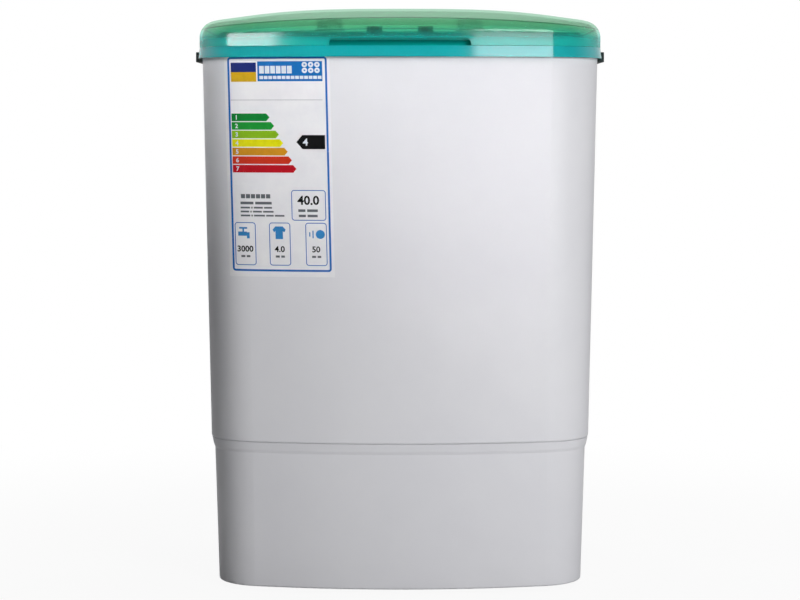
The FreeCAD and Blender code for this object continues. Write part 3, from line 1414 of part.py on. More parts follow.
def motor_grommets():
    return Part.makeCompound(
        [tube(MOTOR_EAR_R, BOLT_R + SCREW_ROOM, Z_EAR, Z_BRACKET, x, y) for x, y in motor_ear_places()]
    )


def motor_bolts():
    """Bolts through ear, grommet and bracket, each with its nut on top."""
    z = Z_EAR - MOTOR_EAR_T
    top = Z_BRACKET + BRACKET_PLATE_T
    bolts = []
    for x, y in motor_ear_places():
        bolt = screw_up(x, y, z, top - z + 3, BOLT_R, BOLT_HEAD_R, BOLT_HEAD_H)
        bolts.append(bolt.fuse(hex_nut(BOLT_HEAD_R, top, top + 3, BOLT_R, x, y)).removeSplitter())
    return Part.makeCompound(bolts)


def run_capacitor():
    z = Z_PLATE_TOP
    r = CAPACITOR_R
    profile = [(0, z), (r, z), (r, z + CAPACITOR_H - 2), (r - 2, z + CAPACITOR_H), (0, z + CAPACITOR_H)]
    body = turned(profile, CAPACITOR_X, CAPACITOR_Y)
    tabs = [
        box(
            CAPACITOR_X + s * 6 - 3,
            CAPACITOR_X + s * 6 + 3,
            CAPACITOR_Y - 0.5,
            CAPACITOR_Y + 0.5,
            z + CAPACITOR_H - 1,
            z + CAPACITOR_H + 8,
        )
        for s in (-1, 1)
    ]
    return fused([body] + tabs)


def strap_screw_place():
    return CAPACITOR_X + CAPACITOR_R + STRAP_T + 10, CAPACITOR_Y


def capacitor_strap():
    """The clip that holds the capacitor: a band round it and a foot on the bottom plate."""
    inner = CAPACITOR_R + SEAT_GAP
    z0 = Z_PLATE_TOP + STRAP_RISE
    band = tube(inner + STRAP_T, inner, z0, z0 + STRAP_H, CAPACITOR_X, CAPACITOR_Y)
    x0 = CAPACITOR_X + inner
    half = STRAP_H / 2
    leg = box(x0, x0 + STRAP_T, CAPACITOR_Y - half, CAPACITOR_Y + half, Z_PLATE_TOP, z0 + STRAP_H)
    foot = box(x0, x0 + 18, CAPACITOR_Y - half, CAPACITOR_Y + half, Z_PLATE_TOP, Z_PLATE_TOP + STRAP_T)
    x, y = strap_screw_place()
    hole = drum(SCREW_R + SCREW_ROOM, Z_PLATE_TOP - 1, Z_PLATE_TOP + STRAP_T + 1, x, y)
    room = drum(inner, z0 - 30, z0 + STRAP_H + 1, CAPACITOR_X, CAPACITOR_Y)
    return fused([band, leg, foot]).cut(room).cut(hole)


def strap_screw():
    """The pan-head screw that points down through the strap's foot into the bottom plate."""
    x, y = strap_screw_place()
    screw = screw_up(x, y, 0, STRAP_T + PLATE_T)
    screw.rotate(Vector(x, y, 0), RIGHT, 180)
    screw.translate(UP * (Z_PLATE_TOP + STRAP_T))
    return screw


def timer_body():
    """The wound timer under the deck, bored for its spindle."""
    top = Z_UNDER_DECK
    body = rounded_slab(TIMER_W, TIMER_W, top - TIMER_H, top, TIMER_CORNER_R, KNOB_X, KNOB_Y)
    return body.cut(drum(SPINDLE_R + RUN_FIT, top - TIMER_H + 6, top + 1, KNOB_X, KNOB_Y))


def selector_body():
    """The guide block that carries the drain cam's spindle."""
    top = Z_UNDER_DECK
    body = rounded_slab(TIMER_W, TIMER_W, top - TIMER_H / 2, top, TIMER_CORNER_R, DRAIN_X, KNOB_Y)
    return body.cut(drum(SPINDLE_R + RUN_FIT, top - TIMER_H, top + 1, DRAIN_X, KNOB_Y))


def knob(x):
    """A fluted knob with a skirt, bored for its spindle."""
    z = Z_PANEL + SEAT_GAP
    profile = [
        (0, z),
        (KNOB_R, z),
        (KNOB_R, z + KNOB_SKIRT_H - 1),
        (KNOB_R - 1, z + KNOB_SKIRT_H),
        (KNOB_TOP_R + 0.8, z + KNOB_SKIRT_H),
        (KNOB_TOP_R, z + KNOB_H - 1.5),
        (KNOB_TOP_R - 1.5, z + KNOB_H),
        (0, z + KNOB_H),
    ]
    body = turned(profile, x, KNOB_Y)
    flute = drum(KNOB_FLUTE_R, z + KNOB_SKIRT_H, z + KNOB_H + 1, x + KNOB_TOP_R + 1, KNOB_Y)
    flutes = pattern(flute, KNOB_FLUTES, x, KNOB_Y, 180.0 / KNOB_FLUTES)
    bore = drum(SPINDLE_R + RUN_FIT, z - 1, Z_SPINDLE_TOP, x, KNOB_Y)
    return body.cut(Part.makeCompound(flutes + [bore]))


def timer_knob():
    return knob(KNOB_X)


def drain_knob():
    return knob(DRAIN_X)


def timer_spindle():
    return drum(SPINDLE_R, Z_UNDER_DECK - TIMER_H + 6 + SEAT_GAP, Z_SPINDLE_TOP - SEAT_GAP, KNOB_X, KNOB_Y)


def drain_cam():
    """The drain selector's spindle with a helical ramp that lifts the strap's follower."""
    spindle = drum(SPINDLE_R, Z_CAM - 6, Z_SPINDLE_TOP - SEAT_GAP, DRAIN_X, KNOB_Y)
    drum_top = Z_UNDER_DECK - TIMER_H / 2 - SEAT_GAP
    core = drum(CAM_DRUM_R, Z_CAM - 6, drum_top, DRAIN_X, KNOB_Y)
    pitch = DRAIN_TRAVEL * 360.0 / DRAIN_TURN
    span = DRAIN_TURN + 2 * CAM_OVERRUN
    helix = Part.makeHelix(pitch, pitch * span / 360.0, CAM_R)
    half = CAM_RAMP_T / 2
    corners = [
        Vector(CAM_DRUM_R - 1, 0, -half),
        Vector(CAM_R, 0, -half),
        Vector(CAM_R, 0, half),
        Vector(CAM_DRUM_R - 1, 0, half),
    ]
    section = Part.makePolygon(corners + corners[:1])
    ramp = Part.Wire(helix).makePipeShell([section], True, True)
    ramp.rotate(Vector(0, 0, 0), UP, 270.0 - CAM_OVERRUN)
    ramp.translate(Vector(DRAIN_X, KNOB_Y, Z_CAM - pitch * CAM_OVERRUN / 360.0))
    return fused([core, spindle, ramp])


def follower_z():
    """Height of the follower's axis, clear of the ramp at its steepest."""
    rise = DRAIN_TRAVEL / (math.radians(DRAIN_TURN) * CAM_DRUM_R)
    return Z_CAM + CAM_RAMP_T / 2 + (FOLLOWER_R + SEAT_GAP) * math.sqrt(1 + rise * rise)


def drain_strap():
    """The pull strap: an open eye hooked under the stem's head, and a round follower over the cam's ramp."""
    x0 = DRAIN_X - STRAP_W / 2
    x1 = DRAIN_X + STRAP_W / 2
    z0 = stem_top() - STEM_HEAD_H - STEM_NECK_H
    y0 = VALVE_Y + STEM_R + SEAT_GAP
    y1 = y0 + DRAIN_STRAP_T
    strip = box(x0, x1, y0, y1, z0, follower_z() + FOLLOWER_R + 1)
    eye = box(x0, x1, VALVE_Y - STRAP_W / 2, y1, z0, z0 + STEM_NECK_H)
    neck_room = drum(STEM_NECK_R + RUN_FIT, z0 - 1, z0 + STEM_NECK_H + 1, DRAIN_X, VALVE_Y)
    half = STEM_NECK_R + RUN_FIT
    mouth = box(DRAIN_X - half, DRAIN_X + half, VALVE_Y - STRAP_W, VALVE_Y, z0 - 1, z0 + STEM_NECK_H + 1)
    follower = drum_back(FOLLOWER_R, y0, KNOB_Y - CAM_DRUM_R - SEAT_GAP, DRAIN_X, follower_z())
    return fused([strip, eye, follower]).cut(fused([neck_room, mouth]))


def stem_top():
    return Z_VALVE_TOP + CAP_T + DRAIN_TRAVEL + 8


def valve_plunger():
    """The rubber-faced plunger on its stem, resting on the seat, with a neck and head for the strap."""
    z = Z_SEAT + SEAT_GAP
    head = stem_top() - STEM_HEAD_H
    neck = head - STEM_NECK_H
    profile = [
        (0, z),
        (PLUNGER_R - 2, z),
        (PLUNGER_R, z + 2),
        (PLUNGER_R, z + PLUNGER_H - 2),
        (STEM_R + 2, z + PLUNGER_H),
        (STEM_R, z + PLUNGER_H),
        (STEM_R, neck),
        (STEM_NECK_R, neck),
        (STEM_NECK_R, head),
        (STEM_R, head),
        (STEM_R, stem_top()),
        (0, stem_top()),
    ]
    return turned(profile, DRAIN_X, VALVE_Y)


def valve_spring():
    """The coil spring between plunger and cap, lofted through eight-sided sections along its helix."""
    z0 = Z_SEAT + SEAT_GAP + PLUNGER_H + SPRING_WIRE_R + SEAT_GAP
    z1 = Z_VALVE_TOP - SPRING_WIRE_R - SEAT_GAP
    axis = Vector(DRAIN_X, VALVE_Y, z0)
    count = SPRING_TURNS * SPRING_STEPS
    sections = []
    for i in range(count + 1):
        turn = 2 * math.pi * i / SPRING_STEPS
        out = Vector(math.cos(turn), math.sin(turn), 0)
        centre = axis + out * SPRING_R + UP * ((z1 - z0) * i / count)
        corners = []
        for k in range(9):
            angle = math.pi * k / 4
            across = out * (SPRING_WIRE_R * math.cos(angle))
            corners.append(centre + across + UP * (SPRING_WIRE_R * math.sin(angle)))
        sections.append(Part.makePolygon(corners))
    return Part.makeLoft(sections, True, True)


def valve_cap():
    z = Z_VALVE_TOP
    inner = STEM_R + SEAT_GAP
    top = z + CAP_T
    profile = [(inner, z), (VALVE_R, z), (VALVE_R, top)]
    profile += [(inner + 4, top), (inner + 2, top + 4), (inner, top + 4)]
    return turned(profile, DRAIN_X, VALVE_Y)


def valve_body():
    """The drain valve: a cup with a seat shelf, inlet in front, outlet behind, overflow port at the side."""
    bore = VALVE_R - VALVE_T
    body = drum(VALVE_R, Z_VALVE, Z_VALVE_TOP, DRAIN_X, VALVE_Y)
    inlet = drum_back(NOZZLE_R, VALVE_Y - VALVE_R - NOZZLE_L, VALVE_Y, DRAIN_X, Z_INLET)
    outlet_r = OUTLET_R - SEAT_GAP - VALVE_T
    outlet = drum_back(outlet_r, VALVE_Y, skirt_rear(Z_OUTLET) - SKIRT_T, DRAIN_X, Z_OUTLET)
    port = drum_right(OVERFLOW_PIPE_R, DRAIN_X - VALVE_R - 12, DRAIN_X, VALVE_Y, Z_OUTLET)
    body = body.multiFuse([inlet, outlet, port])
    cuts = [
        drum(bore, Z_SEAT, Z_VALVE_TOP + 1, DRAIN_X, VALVE_Y),
        drum(bore, Z_VALVE + VALVE_T, Z_SEAT - SEAT_T, DRAIN_X, VALVE_Y),
        drum(SEAT_BORE_R, Z_SEAT - SEAT_T - 1, Z_SEAT + 1, DRAIN_X, VALVE_Y),
        drum_back(NOZZLE_R - NOZZLE_T, VALVE_Y - VALVE_R - NOZZLE_L - 1, VALVE_Y, DRAIN_X, Z_INLET),
        drum_back(outlet_r - VALVE_T, VALVE_Y, HALF_DEPTH, DRAIN_X, Z_OUTLET),
        drum_right(OVERFLOW_PIPE_R - NOZZLE_T, DRAIN_X - VALVE_R - 13, DRAIN_X, VALVE_Y, Z_OUTLET),
    ]
    return body.cut(Part.makeCompound(cuts)).removeSplitter()


def sump_pipe():
    """The rubber elbow from the tub's drain nozzle to the valve's inlet."""
    inner = NOZZLE_R + SEAT_GAP
    outer = inner + SUMP_PIPE_T
    points = [
        Vector(DRAIN_X, DRIVE_Y + NOZZLE_SHIFT, Z_DISH_UNDER - SEAT_GAP),
        Vector(DRAIN_X, DRIVE_Y + NOZZLE_SHIFT, Z_INLET),
        Vector(DRAIN_X, VALVE_Y - VALVE_R - SEAT_GAP - 2, Z_INLET),
    ]
    path = path_wire(points, SUMP_BEND_R)
    return swept(path, outer).cut(swept(path, inner))


def overflow_pipe():
    """The pipe from the tub's overflow nozzle down to the valve's side port."""
    inner = OVERFLOW_PIPE_R + SEAT_GAP
    outer = inner + SUMP_PIPE_T
    start = TUB_REAR - tub_inset(Z_OVERFLOW) + 6
    points = [
        Vector(OVERFLOW_X, start, Z_OVERFLOW),
        Vector(OVERFLOW_X, VALVE_Y, Z_OVERFLOW),
        Vector(OVERFLOW_X, VALVE_Y, Z_OUTLET),
        Vector(DRAIN_X - VALVE_R - 2, VALVE_Y, Z_OUTLET),
    ]
    path = path_wire(points, OVERFLOW_BEND_R)
    return swept(path, outer).cut(swept(path, inner))


def drain_spigot():
    """The outlet through the base's rear wall: socket inside, flange and plain hose spigot outside."""
    wall = skirt_rear(Z_OUTLET + OUTLET_FLANGE_R) + SEAT_GAP
    inside = VALVE_Y + VALVE_R + SEAT_GAP + 1
    outside = wall + OUTLET_FLANGE_T
    end = outside + SPIGOT_L
    socket = OUTLET_R - VALVE_T
    socket_end = skirt_rear(Z_OUTLET) - SKIRT_T + SEAT_GAP
    profile = [
        (socket, inside),
        (OUTLET_R, inside),
        (OUTLET_R, wall),
        (OUTLET_FLANGE_R, wall),
        (OUTLET_FLANGE_R, outside),
        (OUTLET_R, outside),
        (OUTLET_R, end),
        (OUTLET_BORE_R, end),
        (OUTLET_BORE_R, socket_end),
        (socket, socket_end),
    ]
    return turned_back(profile, DRAIN_X, Z_OUTLET)


def cable_gland():
    """The bush in the base's rear wall for the supply lead."""
    wall = skirt_rear(Z_GLAND + GLAND_FLANGE_R) + SEAT_GAP
    inside = skirt_rear(Z_GLAND) - SKIRT_T - 6
    end = wall + GLAND_FLANGE_T + GLAND_NOSE
    profile = [
        (GLAND_BORE_R, inside),
        (GLAND_R, inside),
        (GLAND_R, wall),
        (GLAND_FLANGE_R, wall),
        (GLAND_FLANGE_R, wall + GLAND_FLANGE_T),
        (GLAND_R, wall + GLAND_FLANGE_T),
        (GLAND_R - 2, end),
        (GLAND_BORE_R, end),
    ]
    return turned_back(profile, GLAND_X, Z_GLAND)


def wiring_harness():
    """The loom from the timer down behind the tub to the motor's side."""
    height = (Z_STACK_LOW + Z_STACK_TOP) / 2
    touch = MOTOR_Y + STACK_R * 0.94 + SEAT_GAP
    points = [
        Vector(WIRE_X, WIRE_Y, Z_UNDER_DECK - TIMER_H),
        Vector(WIRE_X, WIRE_Y, height),
        Vector(WIRE_X, touch, height),
    ]
    return swept(path_wire(points, WIRE_BEND_R), WIRE_R)


BUILDERS = (
    outer_casing,
    base_skirt,
    bottom_plate,
    rubber_feet,
    foot_screws,
    casing_screws,
    bottom_plate_screws,
    frame_screws,
    wash_tub,
    overflow_grille,
    overflow_pipe,
    top_frame,
    control_panel,
    lid_shell,
    lid_knuckles,
    hinge_bracket,
    hinge_pins,
    carry_grips,
    pulsator,
    pulsator_screw,
    drive_shaft,
    shaft_seal,
    upper_bush,
    lower_bush,
    bearing_housing,
    housing_bolts,
    driven_pulley,
    pulley_nut,
    drive_belt,
    motor_pulley,
    cooling_fan,
    motor_stator,
    motor_windings,
    motor_upper_bell,
    motor_lower_bell,
    rotor_core,
    rotor_shaft,
    motor_bracket,
    bracket_bolts,
    motor_grommets,
    motor_bolts,
    run_capacitor,
    capacitor_strap,
    strap_screw,
    timer_body,
    timer_spindle,
    timer_knob,
    selector_body,
    drain_cam,
    drain_knob,
    drain_strap,
    valve_plunger,
    valve_spring,
    valve_cap,
    valve_body,
    sump_pipe,
    drain_spigot,
    cable_gland,
    wiring_harness,
)


def main():
    os.makedirs("parts", exist_ok=True)
    for builder in BUILDERS:
        shape = builder()
        shape.exportStep(os.path.join("parts", builder.__name__ + ".step"))
        print(builder.__name__, len(shape.Solids), round(shape.Volume), shape.isValid())


if __name__ == "__main__":
    main()
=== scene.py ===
import json
import logging
import math
from collections.abc import Callable, Sequence
from dataclasses import dataclass, field, replace
from enum import Enum

import bpy
import numpy as np
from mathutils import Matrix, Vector


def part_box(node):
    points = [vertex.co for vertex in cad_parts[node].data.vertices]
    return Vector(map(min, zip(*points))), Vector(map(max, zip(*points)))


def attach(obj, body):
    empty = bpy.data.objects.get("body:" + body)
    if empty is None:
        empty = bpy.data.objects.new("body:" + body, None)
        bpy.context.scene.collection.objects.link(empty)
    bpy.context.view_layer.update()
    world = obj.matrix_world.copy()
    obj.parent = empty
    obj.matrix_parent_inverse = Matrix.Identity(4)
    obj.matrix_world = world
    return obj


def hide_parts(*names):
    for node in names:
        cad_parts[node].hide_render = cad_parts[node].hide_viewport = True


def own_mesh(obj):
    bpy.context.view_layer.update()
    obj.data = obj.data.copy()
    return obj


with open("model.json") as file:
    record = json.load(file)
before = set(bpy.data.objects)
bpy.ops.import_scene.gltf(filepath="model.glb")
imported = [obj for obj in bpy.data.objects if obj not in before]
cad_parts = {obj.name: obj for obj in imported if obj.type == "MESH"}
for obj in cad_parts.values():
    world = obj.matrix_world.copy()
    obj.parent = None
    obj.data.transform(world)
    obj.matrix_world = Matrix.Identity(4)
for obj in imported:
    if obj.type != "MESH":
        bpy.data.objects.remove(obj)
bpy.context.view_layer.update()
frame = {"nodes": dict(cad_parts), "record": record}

# The looks of a portable top-loading washing machine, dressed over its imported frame.
# Lengths are in metres, except where a name ends in mm. +Z is up and the front faces -Y.

Tree = bpy.types.NodeTree
Socket = bpy.types.NodeSocket
Material = bpy.types.Material
Piece = bpy.types.Object
Array = np.ndarray
Pair = tuple[float, float]
Triple = tuple[float, float, float]
Box = tuple[float, float, float, float]
Colour = tuple[float, float, float, float]
Inputs = dict[str | int, object] | Sequence[object]

LOG = logging.getLogger("washing_machine")
MM = 0.001
WHITE = "#FFFFFF"
# Sockets of Blender's mix node for colours, and the wave texture's height.
MIX_A = 6
MIX_B = 7
MIX_COLOUR = 2
WAVE_HEIGHT = 1
# Blender's wave texture repeats each pi / 10 of a unit at a scale of 1.
WAVE_TURNS = math.pi / 10
# The part of a noise texture's range that holds nearly all of its values.
NOISE_SPAN: Pair = (0.3, 0.7)
# The scale of a drawn metal's grain along Z. Far under 1, it draws the grain out into lines.
DRAWN_OUT = 0.03
# Keeps the level part of a vector.
LEVEL: Triple = (1.0, 1.0, 0.0)
# Metals keep Blender's own value.
PLASTIC_IOR = 1.5
COAT_ROUGHNESS = 0.08
# A printed ink's darker shade, as a part of its colour.
INK_SHADE = 0.94
# How much a figure's outline is thickened, in parts of the font's size.
FIGURE_WEIGHT = 0.026
# The axis of the bow in the plan of the cabinet's front, and the motor's axis in plan.
BOW_Y = 0.432
MOTOR_AXIS: Triple = (0.104, 0.038, 0.0)


def linear(colour: str) -> Colour:
    """Turns an sRGB hex colour into linear light, by the curve of the sRGB standard.

    Args:
        colour: six hex digits after a hash sign.

    Returns:
        Linear red, green and blue, and an alpha of 1.
    """
    srgb = np.array([int(colour[i : i + 2], 16) for i in (1, 3, 5)]) / 255.0
    rgb = np.where(srgb <= 0.04045, srgb / 12.92, ((srgb + 0.055) / 1.055) ** 2.4)
    return (*rgb.tolist(), 1.0)


def add_node(
    tree: Tree, kind: str, inputs: Inputs, result: str | int = 0, **settings: object
) -> Socket | None:
    """Adds one node with its settings, values and links.

    Args:
        tree: the node tree to add to.
        kind: Blender's name for the node type.
        inputs: values, or sockets to link from, in the inputs' order or by their names or indices.
        result: the output that is wanted, by name or index.
        settings: attributes of the node itself.

    Returns:
        The socket of that output, or nothing where the node has no output.
    """
    node = tree.nodes.new(kind)
    for name, value in settings.items():
        setattr(node, name, value)
    pairs = inputs.items() if isinstance(inputs, dict) else enumerate(inputs)
    for key, value in pairs:
        if isinstance(value, Socket):
            tree.links.new(value, node.inputs[key])
        else:
            node.inputs[key].default_value = value
    return node.outputs[result] if node.outputs else None


def empty_material(name: str) -> tuple[Material, Tree]:
    """Makes a material with no nodes in it.

    Args:
        name: the material's name.

    Returns:
        The material and its node tree.
    """
    material = bpy.data.materials.new(name)
    material.use_nodes = True
    material.node_tree.nodes.clear()
    return material, material.node_tree


def add_object(name: str, data: bpy.types.ID) -> Piece:
    """Puts a mesh, a lamp or a camera into the scene.

    Args:
        name: the object's name.
        data: what it shows.

    Returns:
        The object, at the origin.
    """
    made = bpy.data.objects.new(name, data)
    bpy.context.scene.collection.objects.link(made)
    return made


class Pattern(Enum):
    """How a surface was made, which decides the direction of its fine pattern."""

    MOULDED = "moulded"
    DRAWN = "drawn"
    LAYERED = "layered"
    WOUND = "wound"


@dataclass(frozen=True)
class Finish:
    """A solid material: two close shades in patches, a fine relief and an uneven gloss."""

    name: str
    colour: str
    shade: str
    roughness: Pair
    patch_mm: float
    grain_mm: float
    relief_mm: float
    pattern: Pattern = Pattern.MOULDED
    centre: Triple = (0.0, 0.0, 0.0)
    metallic: float = 0.0
    specular: float = 0.5
    coat: float = 0.0

    def fine_pattern(self, tree: Tree, place: Socket) -> Socket:
        """Adds the fine pattern: noise, lines along Z, stacked sheets, or turns of wire.

        Args:
            tree: the material's node tree.
            place: the socket with the object's coordinates.

        Returns:
            The socket with the pattern's height, 0 to 1.
        """
        per_metre = 1.0 / (self.grain_mm * MM)
        if self.pattern in (Pattern.MOULDED, Pattern.DRAWN):
            stretch = (1.0, 1.0, DRAWN_OUT if self.pattern is Pattern.DRAWN else 1.0)
            mapped = add_node(tree, "ShaderNodeMapping", {"Vector": place, "Scale": stretch})
            grain = {"Vector": mapped, "Scale": per_metre, "Detail": 3.0, "Roughness": 0.55}
            return add_node(tree, "ShaderNodeTexNoise", grain)
        shift = [-value for value in self.centre]
        mapped = add_node(tree, "ShaderNodeMapping", {"Vector": place, "Location": shift})
        turns = {"Vector": mapped, "Scale": WAVE_TURNS * per_metre, "Distortion": 0.6, "Detail": 1.0}
        rings = {"wave_type": "RINGS", "rings_direction": "Z"}
        way = {"bands_direction": "Z"} if self.pattern is Pattern.LAYERED else rings
        return add_node(tree, "ShaderNodeTexWave", turns, WAVE_HEIGHT, **way)

    def build(self) -> Material:
        """Builds the material from its values, once.

        Returns:
            The material, ready for a slot.
        """
        if self.name in bpy.data.materials:
            return bpy.data.materials[self.name]
        material, tree = empty_material(self.name)
        place = add_node(tree, "ShaderNodeTexCoord", {}, "Object")
        cloud = {"Vector": place, "Scale": 1.0 / (self.patch_mm * MM), "Detail": 4.0, "Roughness": 0.6}
        patches = add_node(tree, "ShaderNodeTexNoise", cloud)
        fine = self.fine_pattern(tree, place)
        share = fine
        if self.pattern in (Pattern.MOULDED, Pattern.DRAWN):
            share = add_node(tree, "ShaderNodeMapRange", (patches, *NOISE_SPAN))
        shades = {0: share, MIX_A: linear(self.colour), MIX_B: linear(self.shade)}
        relief = {"Height": fine, "Distance": self.relief_mm * MM}
        surface = {
            "Base Color": add_node(tree, "ShaderNodeMix", shades, MIX_COLOUR, data_type="RGBA"),
            "Roughness": add_node(tree, "ShaderNodeMapRange", (patches, *NOISE_SPAN, *self.roughness)),
            "Metallic": self.metallic,
            "Specular IOR Level": self.specular,
            "Coat Weight": self.coat,
            "Coat Roughness": COAT_ROUGHNESS,
            "Normal": add_node(tree, "ShaderNodeBump", relief),
        }
        if self.metallic == 0.0:
            surface["IOR"] = PLASTIC_IOR
        shader = add_node(tree, "ShaderNodeBsdfPrincipled", surface)
        add_node(tree, "ShaderNodeOutputMaterial", {"Surface": shader})
        return material


@dataclass(frozen=True)
class FingerPull:
    """The recess under the lid's front edge, and the painted shade that darkens it in the lid's finish."""

    radius: float = 0.6135
    half: float = 0.0725
    top_z: float = 0.5622
    foot_z: float = 0.5572
    fade: float = 0.001
    # The colour of the recess's painted shade.
    colour: str = "#007F7C"
    foot_share: float = 0.33

    def recess(self, tree: Tree, place: Socket) -> Socket:
        """Finds the recessed wall by its distance from the bow's axis, its width and its height.

        Args:
            tree: the material's node tree.
            place: the socket with the object's coordinates.

        Returns:
            The socket that is 1 on that wall and 0 elsewhere.
        """
        flat = add_node(tree, "ShaderNodeVectorMath", (place, LEVEL), operation="MULTIPLY")
        axis = (flat, (0.0, BOW_Y, 0.0))
        radius = add_node(tree, "ShaderNodeVectorMath", axis, "Value", operation="DISTANCE")
        across, _, height = add_node(tree, "ShaderNodeSeparateXYZ", (place,)).node.outputs
        side = add_node(tree, "ShaderNodeMath", (across,), operation="ABSOLUTE")
        inside: Socket | float = 1.0
        for value, limit in ((radius, self.radius), (side, self.half), (height, self.top_z)):
            within = add_node(tree, "ShaderNodeMapRange", (value, limit + self.fade, limit))
            inside = add_node(tree, "ShaderNodeMath", (within, inside), operation="MULTIPLY")
        return inside

    def shadow(self, tree: Tree, height: Socket, recess: Socket) -> Socket:
        """Painted shade in the recess: darkest under its lip and less towards its foot."""
        dark = add_node(tree, "ShaderNodeMapRange", (height, self.foot_z, self.top_z, self.foot_share))
        return add_node(tree, "ShaderNodeMath", (recess, dark), operation="MULTIPLY")


@dataclass(frozen=True)
class Shoulder:
    """The crease round the lid's crown, z = top - fall x^2, painted as a dark line of shade, and the flatter
    crown above it.
    """

    top: float = 0.5851
    fall: float = 0.235
    half: float = 0.0005
    lean: float = 0.16
    # The colour of the crease's painted dark line of shade.
    colour: str = "#123F2E"

    def masks(self, tree: Tree, place: Socket) -> tuple[Socket, Socket]:
        """Finds the crease and the crown by their level, z + fall x^2.

        Args:
            tree: the material's node tree.
            place: the socket with the object's coordinates.

        Returns:
            A socket that is 1 on the outer face's crease, and one that is 1 above it.
        """
        across, _, height = add_node(tree, "ShaderNodeSeparateXYZ", (place,)).node.outputs
        square = add_node(tree, "ShaderNodeMath", (across, 2.0), operation="POWER")
        level = add_node(tree, "ShaderNodeMath", (square, self.fall, height), operation="MULTIPLY_ADD")
        near = add_node(tree, "ShaderNodeMath", (level, self.top, self.half), operation="COMPARE")
        inner = add_node(tree, "ShaderNodeNewGeometry", {}, "Backfacing")
        outer = add_node(tree, "ShaderNodeMath", (1.0, inner), operation="SUBTRACT")
        line = add_node(tree, "ShaderNodeMath", (near, outer), operation="MULTIPLY")
        start = self.top + self.half
        crown = add_node(tree, "ShaderNodeMapRange", (level, start, start + self.half))
        return line, crown

    def normal(self, tree: Tree, relief: Socket, crown: Socket) -> Socket:
        """The gloss's normal: above the crease its level part is held to a flatter crown's lean.

        Args:
            tree: the material's node tree.
            relief: the normal with the moulding's relief.
            crown: the socket that is 1 above the crease.

        Returns:
            (s nx, s ny, nz), with s = min(1, lean / |(nx, ny)|) on the crown and 1 elsewhere.
        """
        inward = {"vector_type": "NORMAL", "convert_from": "WORLD", "convert_to": "OBJECT"}
        turned = add_node(tree, "ShaderNodeVectorTransform", (relief,), **inward)
        flat = add_node(tree, "ShaderNodeVectorMath", (turned, LEVEL), operation="MULTIPLY")
        reach = add_node(tree, "ShaderNodeVectorMath", (flat,), "Value", operation="LENGTH")
        ratio = add_node(tree, "ShaderNodeMath", (self.lean, reach), operation="DIVIDE")
        held = add_node(tree, "ShaderNodeMath", (ratio, 1.0), operation="MINIMUM")
        share = add_node(tree, "ShaderNodeMapRange", {"Value": crown, "To Min": 1.0, "To Max": held})
        scale = add_node(tree, "ShaderNodeCombineXYZ", (share, share, 1.0))
        bent = add_node(tree, "ShaderNodeVectorMath", (turned, scale), operation="MULTIPLY")
        outward = {"vector_type": "NORMAL", "convert_from": "OBJECT", "convert_to": "WORLD"}
        back = add_node(tree, "ShaderNodeVectorTransform", (bent,), **outward)
        return add_node(tree, "ShaderNodeVectorMath", (back,), operation="NORMALIZE")


